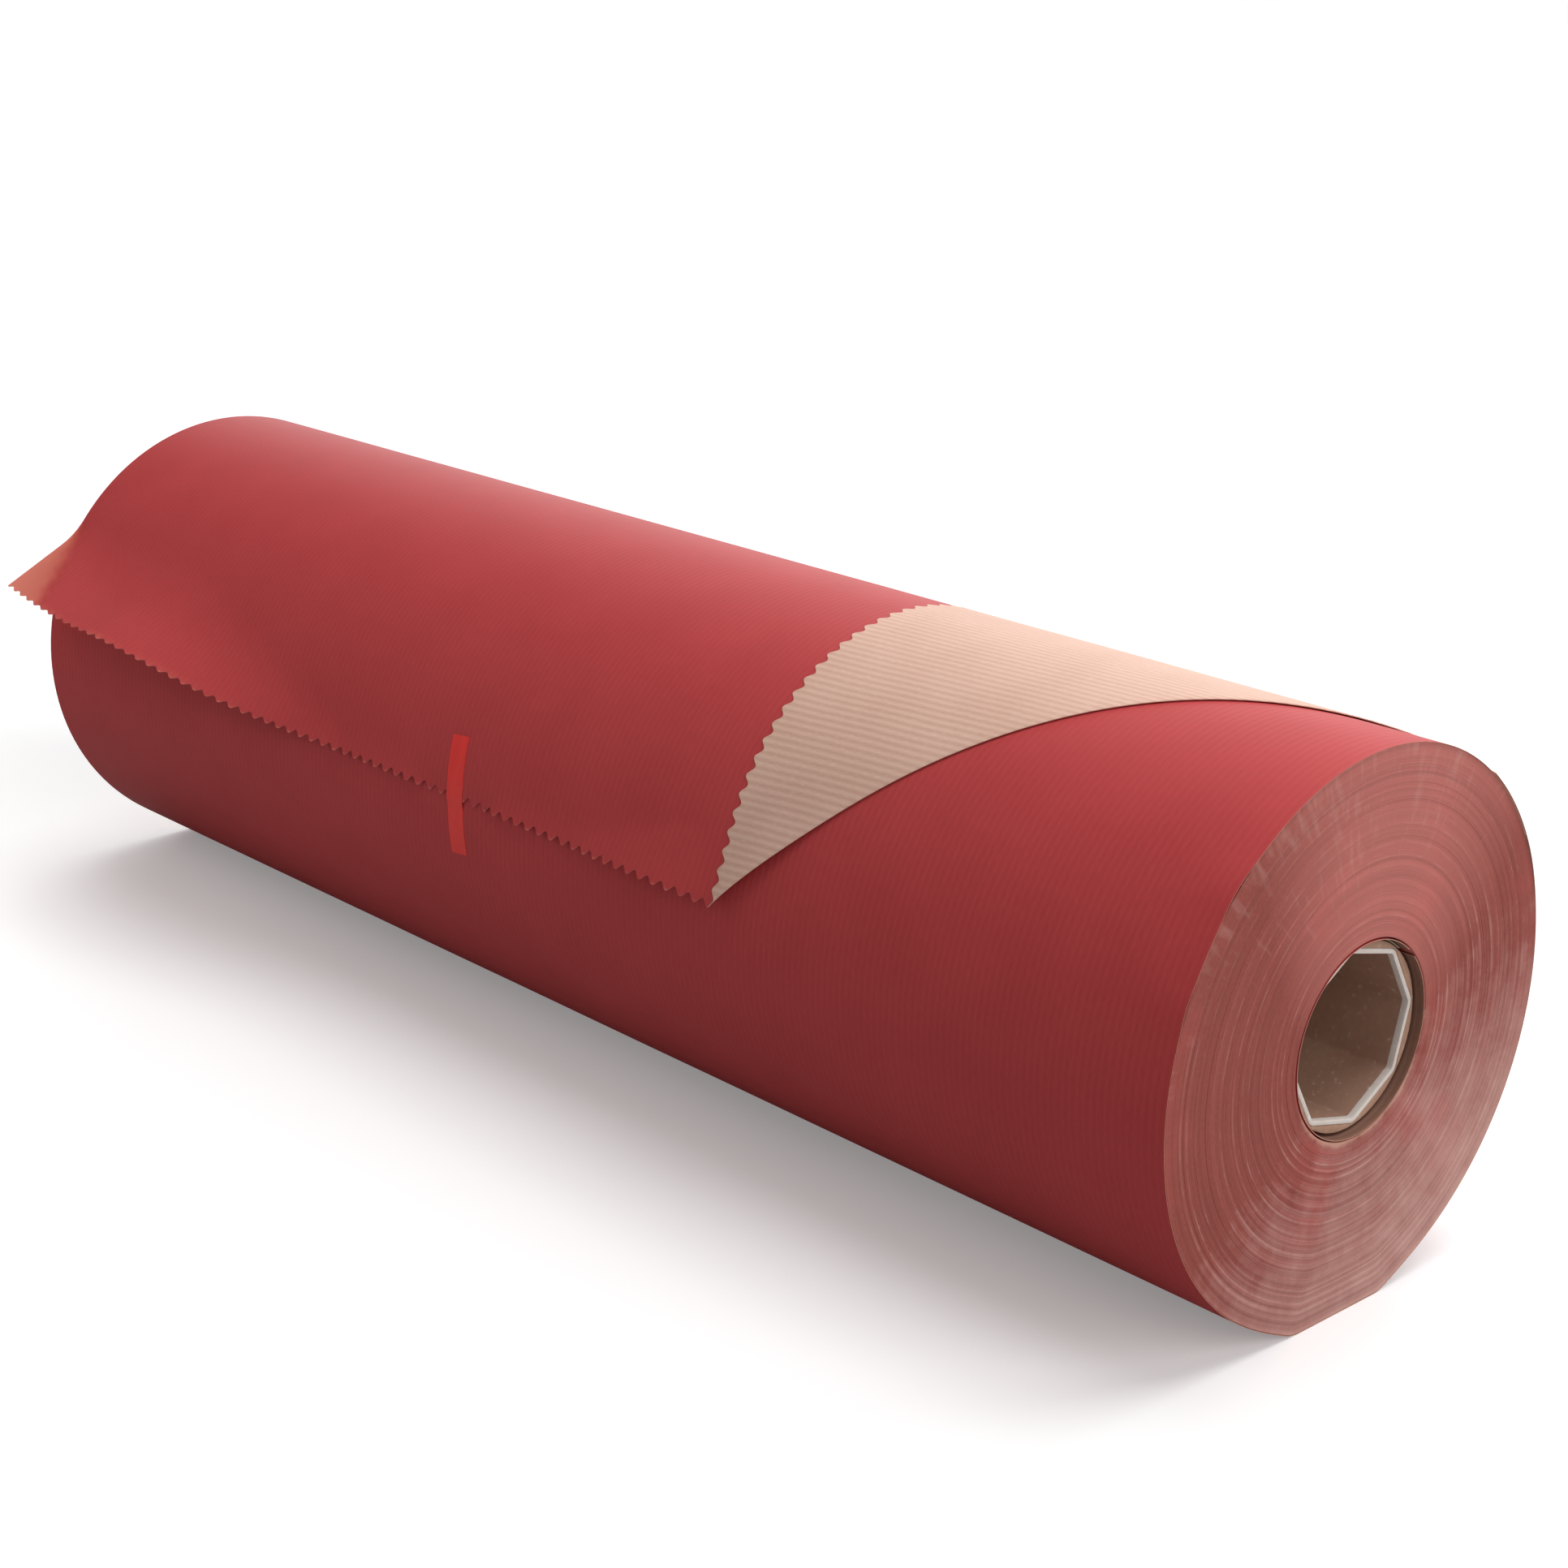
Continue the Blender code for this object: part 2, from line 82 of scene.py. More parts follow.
Tree = bpy.types.NodeTree
Socket = bpy.types.NodeSocket
Material = bpy.types.Material
Piece = bpy.types.Object
Mesh = bmesh.types.BMesh


class Body(Enum):
    """Bodies of the CAD frame; only the roll carries pieces here."""

    ROLL = "roll"
    LOOSE_CORNER = "loose_corner"
    FOLDED_TIP = "folded_tip"


class Region(Enum):
    """Parts of the printed web that become pieces of their own."""

    TURN = "outer_turn"
    LOOSE = "loose_corner"
    TIP = "folded_tip"


class Side(Enum):
    """Sides of a sheet, by the place of their finish on the piece."""

    PRINTED = 0
    REVERSE = 1
    CUT = 2


class LampKind(Enum):
    """Kinds of lamp in the studio."""

    SUN = "SUN"
    BOX = "AREA"


def linear(code: str) -> tuple[float, float, float, float]:
    """Turns an sRGB hex colour to the linear colour that a socket takes.

    Args:
        code: six hex digits.

    Returns:
        Linear red, green and blue, with an alpha of one.
    """
    values = [int(code[i : i + 2], 16) / 255 for i in (0, 2, 4)]
    red, green, blue = [v / 12.92 if v <= 0.04045 else ((v + 0.055) / 1.055) ** 2.4 for v in values]
    return red, green, blue, 1.0


def smooth_step(value: float) -> float:
    """Eases from 0 to 1, and stays there outside that range."""
    t = min(max(value, 0.0), 1.0)
    return t * t * (3 - 2 * t)


def bell(value: float) -> float:
    """Bell curve of height 1 round zero."""
    return exp(-value * value)


def band_scale(pitch: float) -> float:
    """Scale at which a wave texture repeats once in a pitch in metres."""
    return 2 * pi / (20 * pitch)


def add_node(
    tree: Tree, kind: str, inputs: dict[str | int, object] | None = None, **settings: object
) -> bpy.types.NodeOutputs:
    """Adds a shader node, sets its properties and feeds its inputs.

    Args:
        tree: the tree that gets the node.
        kind: the node's type name after the words that all share.
        inputs: a value, or a socket to link, for inputs by name or place.
        settings: properties of the node by name.

    Returns:
        The new node's outputs.
    """
    node = tree.nodes.new(f"ShaderNode{kind}")
    for name, value in settings.items():
        setattr(node, name, value)
    for key, value in (inputs or {}).items():
        if isinstance(value, Socket):
            tree.links.new(value, node.inputs[key])
        else:
            node.inputs[key].default_value = value
    return node.outputs


def start_material(name: str) -> tuple[Material, Tree]:
    """Makes a material with an empty tree.

    Args:
        name: the material's name.

    Returns:
        The material and its tree.
    """
    material = bpy.data.materials.new(name)
    material.use_nodes = True
    material.node_tree.nodes.clear()
    return material, material.node_tree


def weigh(tree: Tree, *terms: tuple[Socket, float], base: float = 0.0) -> Socket:
    """Adds up patterns, each times its share.

    Args:
        tree: the tree that gets the nodes.
        terms: pairs of a pattern's socket and its share.
        base: the sum's start.

    Returns:
        The socket of the sum.
    """
    total: Socket | float = base
    for socket, share in terms:
        total = add_node(tree, "Math", {0: socket, 1: share, 2: total}, operation="MULTIPLY_ADD")[0]
    return total


def tint(tree: Tree, factor: Socket, low: object, high: object) -> Socket:
    """Mixes two colours or colour sockets by a pattern: low where it is 0, high where it is 1."""
    return add_node(tree, "Mix", {0: factor, 6: low, 7: high}, data_type="RGBA")[2]


def overlay(
    tree: Tree, under: Socket, pattern: Socket, span: tuple[float, float], most: object, code: str
) -> Socket:
    """Lays a colour over another where a pattern is high.

    Args:
        tree: the tree that gets the nodes.
        under: the colour below.
        pattern: the pattern's socket.
        span: values of the pattern where the colour starts and where it is full.
        most: share of the colour where it is full, or the socket of that share.
        code: the colour as six hex digits.

    Returns:
        The socket of the mixed colour.
    """
    ends = {"Value": pattern, "From Min": span[0], "From Max": span[1], "To Max": most}
    return tint(tree, add_node(tree, "MapRange", ends)[0], under, linear(code))


@dataclass(frozen=True)
class RibbedKraft:
    """Kraft pressed between ribbed rollers: soft ribs along the web, short fibres and faint clouds."""

    name: str
    dark: str
    light: str
    accent: str
    glow: str
    rib_height: float
    rib_waver: float
    rib_detail: float
    rib_detail_scale: float
    fibre_width: float
    fibre_length: float
    fibre_detail: float
    fibre_height: float
    mottle_size: float
    shares: tuple[float, float, float]
    shade_base: float
    roughness: float
    through: float
    rib_pitch: float = 2.2 * MM

    def patterns(self, tree: Tree) -> tuple[Socket, Socket, Socket]:
        """Lays the ribs, fibres and clouds on the web's own map.

        Args:
            tree: the tree that gets the nodes.

        Returns:
            The fibres, the ground colour and the normal.
        """
        web = add_node(tree, "UVMap", uv_map=WEB_MAP)[0]
        waves = {
            "Vector": web,
            "Scale": band_scale(self.rib_pitch),
            "Distortion": self.rib_waver,
            "Detail": self.rib_detail,
            "Detail Scale": self.rib_detail_scale,
        }
        ribs = add_node(tree, "TexWave", waves, wave_type="BANDS", bands_direction="X")["Fac"]
        stretch = (1 / self.fibre_width, 1 / self.fibre_length, 1)
        grain = add_node(tree, "Mapping", {"Vector": web, "Scale": stretch})[0]
        fibre = add_node(tree, "TexNoise", {"Vector": grain, "Scale": 1.0, "Detail": self.fibre_detail})[0]
        mottle = add_node(tree, "TexNoise", {"Vector": web, "Scale": 1 / self.mottle_size, "Detail": 3.0})[0]
        shade = weigh(tree, *zip((ribs, fibre, mottle), self.shares), base=self.shade_base)
        ground = tint(tree, shade, linear(self.dark), linear(self.light))
        height = weigh(tree, (ribs, 1.0), (fibre, self.fibre_height))
        bump = add_node(tree, "Bump", {"Height": height, "Distance": self.rib_height, "Strength": 1.0})[0]
        return fibre, ground, bump

    def let_light_through(self, tree: Tree, face: Socket) -> None:
        """Mixes in the light from behind where the sheet stands free, and ends the tree.

        Args:
            tree: the tree that gets the nodes.
            face: the shader of the sheet's face.
        """
        back = add_node(tree, "BsdfTranslucent", {"Color": linear(self.glow)})[0]
        free = add_node(tree, "Attribute", attribute_name=FREE)["Fac"]
        through = weigh(tree, (free, self.through))
        sheet = add_node(tree, "MixShader", {0: through, 1: face, 2: back})[0]
        add_node(tree, "OutputMaterial", {0: sheet})


@dataclass(frozen=True)
class PrintedKraft(RibbedKraft):
    """Ribbed kraft with a flood of red ink: soft ribs along the web and a low, broad sheen."""

    name: str = "red_printed_ribbed_kraft"
    dark: str = "ae3b3d"
    light: str = "c6494a"
    accent: str = "dd8a74"
    glow: str = "ffc6b8"
    rib_height: float = 0.034 * MM
    rib_waver: float = 0.9
    rib_detail: float = 1.0
    rib_detail_scale: float = 0.12
    fibre_width: float = 0.5 * MM
    fibre_length: float = 3.0 * MM
    fibre_detail: float = 3.0
    fibre_height: float = 0.45
    mottle_size: float = 26 * MM
    shares: tuple[float, float, float] = (0.2, 0.74, 0.55)
    shade_base: float = -0.24
    roughness: float = 0.6
    rough_range: float = 0.16
    sheen: float = 0.14
    through: float = 0.62

    def material(self) -> Material:
        """Builds the material, with its ink torn off where the sheet is worn.

        Returns:
            The new material.
        """
        material, tree = start_material(self.name)
        fibre, ground, normal = self.patterns(tree)
        worn = add_node(tree, "Attribute", attribute_name=WORN)["Fac"]
        surface = {
            "Base Color": tint(tree, worn, ground, linear(self.accent)),
            "Roughness": weigh(tree, (fibre, self.rough_range), base=self.roughness - self.rough_range / 2),
            "Normal": normal,
            "IOR": 1.5,
            "Specular IOR Level": self.sheen,
        }
        self.let_light_through(tree, add_node(tree, "BsdfPrincipled", surface)[0])
        return material


@dataclass(frozen=True)
class KraftReverse(RibbedKraft):
    """Bare brown kraft: pale ribs, pinker furrows where the ink shows through, and loose fibres."""

    name: str = "brown_kraft_reverse"
    dark: str = "cb9e8a"
    light: str = "e2bca9"
    accent: str = "eed5c6"
    glow: str = "f6e2d4"
    rib_height: float = 0.035 * MM
    rib_waver: float = 1.6
    rib_detail: float = 2.0
    rib_detail_scale: float = 0.2
    fibre_width: float = 0.35 * MM
    fibre_length: float = 2.2 * MM
    fibre_detail: float = 4.0
    fibre_height: float = 0.6
    mottle_size: float = 18 * MM
    shares: tuple[float, float, float] = (0.5, 0.75, 0.5)
    shade_base: float = -0.36
    roughness: float = 0.68
    through: float = 0.75

    def material(self) -> Material:
        """Builds the material, with its palest fibres as flecks.

        Returns:
            The new material.
        """
        material, tree = start_material(self.name)
        fibre, ground, normal = self.patterns(tree)
        colour = overlay(tree, ground, fibre, (0.62, 0.78), 0.45, self.accent)
        surface = {"Base Color": colour, "Roughness": self.roughness, "Normal": normal, "IOR": 1.45}
        self.let_light_through(tree, add_node(tree, "BsdfPrincipled", surface)[0])
        return material


@dataclass(frozen=True)
class CutKraft:
    """Cut edge of the sheet: raw fibre between the ink and the reverse, paler than both."""

    name: str = "cut_kraft_edge"
    dark: str = "b0705f"
    light: str = "d39c87"
    grain_size: float = 1.2 * MM
    roughness: float = 0.85

    def material(self) -> Material:
        """Builds the material on Object coordinates.

        Returns:
            The new material.
        """
        material, tree = start_material(self.name)
        place = add_node(tree, "TexCoord")["Object"]
        grain = add_node(tree, "TexNoise", {"Vector": place, "Scale": 1 / self.grain_size, "Detail": 2.0})[0]
        colour = tint(tree, grain, linear(self.dark), linear(self.light))
        fibre = add_node(tree, "BsdfPrincipled", {"Base Color": colour, "Roughness": self.roughness})[0]
        add_node(tree, "OutputMaterial", {0: fibre})
        return material


@dataclass(frozen=True)
class WoundEdges:
    """Cut edges of hundreds of turns: fine rings of ink and fibre, rubbed and dusty arcs, a painted highlight
    low at the back and a painted glow at the top.
    """

    # One turn of 0.08 mm is too fine to show, so the finest rings stand for five turns or so.
    fine_ring: float = 0.42 * MM
    ring: float = 1.3 * MM
    band: float = 7.5 * MM
    arc: float = 32 * MM
    scuff: float = 9 * MM
    grain: float = 0.8 * MM
    ring_height: float = 0.12 * MM
    scratch_width: float = 1.6 * MM
    scratch_length: float = 8 * MM
    scratch_radius: float = 50 * MM
    name: str = "wound_kraft_edges"
    ink: str = "863831"
    fibre: str = "a8554a"
    # Pale dust colour, also used for the painted highlight low at the back of the end.
    dust_and_highlight: str = "ddb2a7"
    blush: str = "c5514f"
    # Painted glow: pinker colour at the top of the end, for light that comes through the edges.
    upper: str = "d9857c"
    bare: str = "cf9f8a"
    roughness: float = 0.62

    def strokes(self, tree: Tree, place: Socket, radius: Socket) -> Socket:
        """Draws short scratches that run out from the axis.

        Args:
            tree: the tree that gets the nodes.
            place: Object coordinates.
            radius: distance from the axis in the winding.

        Returns:
            The pattern's socket.
        """
        centred = {"Vector": place, "Location": (0, 0, -AXIS_HEIGHT), "Scale": (0, 1, 1)}
        spoke = add_node(tree, "Mapping", centred)[0]
        unit = add_node(tree, "VectorMath", {0: spoke}, operation="NORMALIZE")[0]
        turn = add_node(tree, "SeparateXYZ", {0: unit})
        across = self.scratch_radius / self.scratch_width
        shares = ((radius, 1 / self.scratch_length), (turn[1], across), (turn[2], across))
        cell = add_node(tree, "CombineXYZ", {i: weigh(tree, share) for i, share in enumerate(shares)})[0]
        return add_node(tree, "TexNoise", {"Vector": cell, "Scale": 1.0, "Detail": 2.0})[0]

    def material(self) -> Material:
        """Builds the material on each point's radius in the winding.

        Returns:
            The new material.
        """
        material, tree = start_material(self.name)
        radius = add_node(tree, "Attribute", attribute_name=TURN_RADIUS)["Fac"]
        place = add_node(tree, "TexCoord")["Object"]
        axes = add_node(tree, "SeparateXYZ", {0: place})
        rings = []
        for size, detail in ((self.fine_ring, 2.0), (self.ring, 3.0), (self.band, 2.0)):
            spread = {"W": radius, "Scale": 1 / size, "Detail": detail, "Roughness": 0.6}
            rings.append(add_node(tree, "TexNoise", spread, noise_dimensions="1D")[0])
        fine, ring, band = rings
        arcs, grain = [
            add_node(tree, "TexNoise", {"Vector": place, "Scale": 1 / size, "Detail": 3.0})[0]
            for size in (self.arc, self.grain)
        ]
        rough_spots = {"Vector": place, "Scale": 1 / self.scuff, "Detail": 5.0, "Roughness": 0.62}
        scuffs = add_node(tree, "TexNoise", rough_spots)[0]
        strokes = self.strokes(tree, place, radius)
        scuffed = {"Value": scuffs, "From Min": 0.42, "From Max": 0.68, "To Max": 0.5}
        rubbed = add_node(tree, "MapRange", scuffed)[0]
        # Sums that are high at the lower back, for a painted highlight; at the top, for a painted glow;
        # where the end is rubbed; and at the lower mouth of the bore.
        # Painted highlight: paler low at the back, where the cut edges would catch a sheen.
        painted_low_highlight = weigh(tree, (axes[1], 4.6), (axes[2], -9.3), (scuffs, 0.7), (ring, 0.5), base=0.08)
        # Painted glow: high at the top of the end, near the rim.
        high = weigh(tree, (axes[2], 1.0), (radius, -1.0), (axes[1], 0.15), base=0.035)
        worn = ((strokes, 1.0), (arcs, 0.5), (radius, 2.0), (axes[1], -1.2), (axes[2], 5.0))
        rubs = weigh(tree, *worn, base=-1.01)
        mouth = weigh(tree, (radius, -700.0), (scuffs, 2.4), (axes[2], -40.0), base=20.3)
        shade = weigh(tree, (fine, 0.75), (ring, 0.7), (band, 0.55), (arcs, 0.5), (grain, 0.6), base=-1.05)
        colour = tint(tree, shade, linear(self.ink), linear(self.fibre))
        for pattern, span, most, code in (
            (arcs, (0.52, 0.72), 0.45, self.blush),
            (ring, (0.6, 0.74), rubbed, self.dust_and_highlight),
            # The painted highlight, low at the back.
            (painted_low_highlight, (0.1, 0.8), 0.68, self.dust_and_highlight),
            # The painted glow at the top.
            (high, (0.085, 0.11), 0.5, self.upper),
            (rubs, (0.54, 0.9), 0.26, self.dust_and_highlight),
            (mouth, (0.2, 0.9), 0.75, self.bare),
        ):
            colour = overlay(tree, colour, pattern, span, most, code)
        height = weigh(tree, (fine, 0.8), (ring, 0.9), (scuffs, 0.25))
        bump = add_node(tree, "Bump", {"Height": height, "Distance": self.ring_height, "Strength": 0.8})[0]
        surface = {"Base Color": colour, "Roughness": self.roughness, "Normal": bump, "IOR": 1.45}
        add_node(tree, "OutputMaterial", {0: add_node(tree, "BsdfPrincipled", surface)[0]})
        return material


@dataclass(frozen=True)
class GreyBoard:
    """Spiral-wound board from waste paper: dull, speckled, with short fibres."""

    name: str
    dark: str
    light: str
    speck: str
    speck_size: float = 1.6 * MM
    speck_height: float = 0.06 * MM
    cloud_size: float = 14 * MM
    roughness: float = 0.85

    def material(self) -> Material:
        """Builds the material on Object coordinates.

        Returns:
            The new material.
        """
        material, tree = start_material(self.name)
        place = add_node(tree, "TexCoord")["Object"]
        cloud, grain = [
            add_node(tree, "TexNoise", {"Vector": place, "Scale": 1 / size, "Detail": detail})[0]
            for size, detail in ((self.cloud_size, 4.0), (self.speck_size, 3.0))
        ]
        shade = weigh(tree, (cloud, 0.8), (grain, 0.5), base=-0.15)
        ground = tint(tree, shade, linear(self.dark), linear(self.light))
        colour = overlay(tree, ground, grain, (0.64, 0.74), 0.6, self.speck)
        bump = add_node(tree, "Bump", {"Height": grain, "Distance": self.speck_height, "Strength": 0.8})[0]
        surface = {"Base Color": colour, "Roughness": self.roughness, "Normal": bump, "IOR": 1.45}
        add_node(tree, "OutputMaterial", {0: add_node(tree, "BsdfPrincipled", surface)[0]})
        return material


@dataclass(frozen=True)
class TapeFilm:
    """Adhesive tape of coloured film: even colour, a satin face and a faint pull along its length."""

    name: str
    dark: str
    light: str
    roughness: float = 0.36
    rough_range: float = 0.12
    sheen: float = 0.25
    streak_width: float = 1.4 * MM
    streak_length: float = 30 * MM
    streak_height: float = 0.02 * MM

    def material(self) -> Material:
        """Builds the material on Object coordinates.

        Returns:
            The new material.
        """
        material, tree = start_material(self.name)
        place = add_node(tree, "TexCoord")["Object"]
        stretch = (1 / self.streak_width, 1 / self.streak_length, 1 / self.streak_length)
        pull = add_node(tree, "Mapping", {"Vector": place, "Scale": stretch})[0]
        streaks = add_node(tree, "TexNoise", {"Vector": pull, "Scale": 1.0, "Detail": 2.0})[0]
        bump = add_node(tree, "Bump", {"Height": streaks, "Distance": self.streak_height, "Strength": 0.6})[0]
        surface = {
            "Base Color": tint(tree, streaks, linear(self.dark), linear(self.light)),
            "Roughness": weigh(tree, (streaks, self.rough_range), base=self.roughness - self.rough_range / 2),
            "Normal": bump,
            "IOR": 1.5,
            "Specular IOR Level": self.sheen,
        }
        add_node(tree, "OutputMaterial", {0: add_node(tree, "BsdfPrincipled", surface)[0]})
        return material


@dataclass
class Finishes:
    """Materials of the roll, made once and shared by its pieces."""

    printed: Material = field(default_factory=lambda: PrintedKraft().material())
    reverse: Material = field(default_factory=lambda: KraftReverse().material())
    # Darker kraft for the first turn's inner face: painted shade on the wall of the bore's recess.
    recess_shade: Material = field(
        default_factory=lambda: KraftReverse("painted_shade_kraft", "7a5546", "8f6a58", "a3836f").material()
    )
    cut: Material = field(default_factory=lambda: CutKraft().material())
    edges: Material = field(default_factory=lambda: WoundEdges().material())
    board: Material = field(
        default_factory=lambda: GreyBoard("brown_core_board", "9c7560", "be9780", "d6bba7").material()
    )
    rim: Material = field(
        default_factory=lambda: GreyBoard("cut_core_board", "cdc0b6", "ece4dd", "f8f4f0").material()
    )
    tape: Material = field(default_factory=lambda: TapeFilm("red_tape_film", "e63530", "f24039").material())
    strip: Material = field(
        default_factory=lambda: TapeFilm("starting_strip", "b9ad94", "cfc4ad", 0.45).material()
    )

    def sheet(self) -> list[Material]:
        """Finishes of a sheet in the order of its sides."""
        return [self.printed, self.reverse, self.cut]


def finish_mesh(bm: Mesh, name: str, materials: list[Material], sharp: float) -> Piece:
    """Closes a mesh into an object at the origin, with its faces outwards.

    Args:
        bm: the mesh, which is freed.
        name: the object's name.
        materials: finishes by the place that faces name.
        sharp: angle in radians past which an edge is shaded as sharp.

    Returns:
        The new object.
    """
    bmesh.ops.recalc_face_normals(bm, faces=bm.faces)
    if bm.calc_volume(signed=True) < 0:
        bmesh.ops.reverse_faces(bm, faces=bm.faces)
    mesh = bpy.data.meshes.new(name)
    bm.to_mesh(mesh)
    bm.free()
    mesh.shade_smooth()
    mesh.set_sharp_from_angle(angle=sharp)
    for material in materials:
        mesh.materials.append(material)
    piece = bpy.data.objects.new(name, mesh)
    bpy.context.scene.collection.objects.link(piece)
    return piece


def thicken(bm: Mesh, thickness: float) -> None:
    """Gives a flat sheet its thickness and marks its sides.

    Args:
        bm: a flat mesh at a height of zero, which gets the thickness above it.
        thickness: distance between the two faces.
    """
    lower = list(bm.faces)
    raised = bmesh.ops.extrude_face_region(bm, geom=lower, use_keep_orig=True)["geom"]
    tops = {item for item in raised if isinstance(item, bmesh.types.BMFace)}
    lifted = [item for item in raised if isinstance(item, bmesh.types.BMVert)]
    bmesh.ops.translate(bm, verts=lifted, vec=(0, 0, thickness))
    under = set(lower)
    for face in bm.faces:
        side = Side.PRINTED if face in tops else Side.REVERSE if face in under else Side.CUT
        face.material_index = side.value


def map_web(bm: Mesh) -> None:
    """Keeps the place of each corner on the flat web as the sheet's map.

    Args:
        bm: the sheet, while it is still flat.
    """
    web = bm.loops.layers.uv.new(WEB_MAP)
    for face in bm.faces:
        for loop in face.loops:
            loop[web].uv = loop.vert.co.xy


def score(bm: Mesh, point: Vector, normal: Vector) -> None:
    """Adds the edges where an upright plane crosses a flat mesh.

    Args:
        bm: the flat mesh.
        point: a point of the line, in x and s.
        normal: direction across the line, in x and s.
    """
    geometry = [*bm.verts, *bm.edges, *bm.faces]
    bmesh.ops.bisect_plane(bm, geom=geometry, plane_co=(*point, 0), plane_no=(*normal, 0), dist=1e-7)


def round_off(bm: Mesh, geom: list[object], offset: float, affect: str, segments: int) -> None:
    """Rounds edges or corners of a mesh.

    Args:
        bm: the mesh.
        geom: the edges or the corners.
        offset: reach of the rounding.
        affect: what is rounded, edges or vertices.
        segments: number of facets of the rounding.
    """
    bmesh.ops.bevel(
        bm,
        geom=geom,
        offset=offset,
        offset_type="OFFSET",
        affect=affect,
        segments=segments,
        profile=0.5,
        material=-1,
    )


@dataclass(frozen=True)
class RollForm:
    """Outline of the wound roll, pressed flat below, that every turn follows."""

    length: float = 500 * MM
    wound_radius: float = 74.6 * MM
    flat_depth: float = 0.25 * MM
    flat_half_angle: float = radians(13.5)
    bulge_fade: float = radians(8)
    corner_softness: float = 0.25 * MM
    corner_reach: float = radians(40)
    axis_height: float = AXIS_HEIGHT
    develop_radius: float = 75.8 * MM

    @property
    def near_end(self) -> float:
        """Place along X of the end with the folded corner."""
        return self.length / 2

    @property
    def far_end(self) -> float:
        """Place along X of the end with the loose corner."""
        return -self.length / 2

    @property
    def turn(self) -> float:
        """Length of one turn of the outer web."""
        return 2 * pi * self.develop_radius

    def radius(self, angle: float, lift: float) -> float:
        """Gives the outline's distance from the axis.

        Args:
            angle: angle from the top to the front, in radians.
            lift: distance off the wound body.

        Returns:
            The distance in metres.
        """
        from_bottom = abs((angle % (2 * pi)) - pi)
        flat_height = self.wound_radius - self.flat_depth + lift
        rounded = self.wound_radius + lift
        bulge = flat_height / cos(self.flat_half_angle) - rounded
        curved = rounded + bulge * exp((self.flat_half_angle - from_bottom) / self.bulge_fade)
        if from_bottom > self.corner_reach:
            return curved
        pressed = flat_height / cos(from_bottom)
        ease = log(1 + exp(-abs(pressed - curved) / self.corner_softness))
        return min(pressed, curved) - self.corner_softness * ease

    def point(self, x: float, arc: float, lift: float) -> Vector:
        """Gives the place of a point of the web on the roll.

        Args:
            x: place across the web.
            arc: length along the web from the top to the front.
            lift: distance off the wound body.

        Returns:
            The place in the frame.
        """
        angle = arc / self.develop_radius
        radius = self.radius(angle, lift)
        return Vector((x, -radius * sin(angle), self.axis_height + radius * cos(angle)))

    def along(self, arc: float) -> Vector:
        """Direction in which the web runs on at an arc."""
        angle = arc / self.develop_radius
        return Vector((0, -cos(angle), -sin(angle)))

    def outward(self, arc: float) -> Vector:
        """Direction off the roll at an arc."""
        angle = arc / self.develop_radius
        return Vector((0, -sin(angle), cos(angle)))


@dataclass(frozen=True)
class Seam:
    """Straight line on the flat web that parts a moving corner from the turn."""

    point: Vector
    normal: Vector

    def past(self, spot: Vector) -> float:
        """Distance of a flat spot past the line, towards the corner."""
        return self.normal.dot(spot.xy - self.point)

    def moved(self, distance: float) -> Seam:
        """The same line, moved towards the corner by a distance."""
        return Seam(self.point + self.normal * distance, self.normal)


@dataclass(frozen=True)
class Blister:
    """Short place where the outer turn springs off the rim of the near end."""

    height: float
    angle: float
    half_angle: float
    reach: float

    def lift(self, angle: float, inset: float) -> float:
        """Lift at an angle from the top and a distance in from the rim."""
        around = bell((angle - self.angle) / self.half_angle)
        return self.height * around * smooth_step(1 - inset / self.reach)


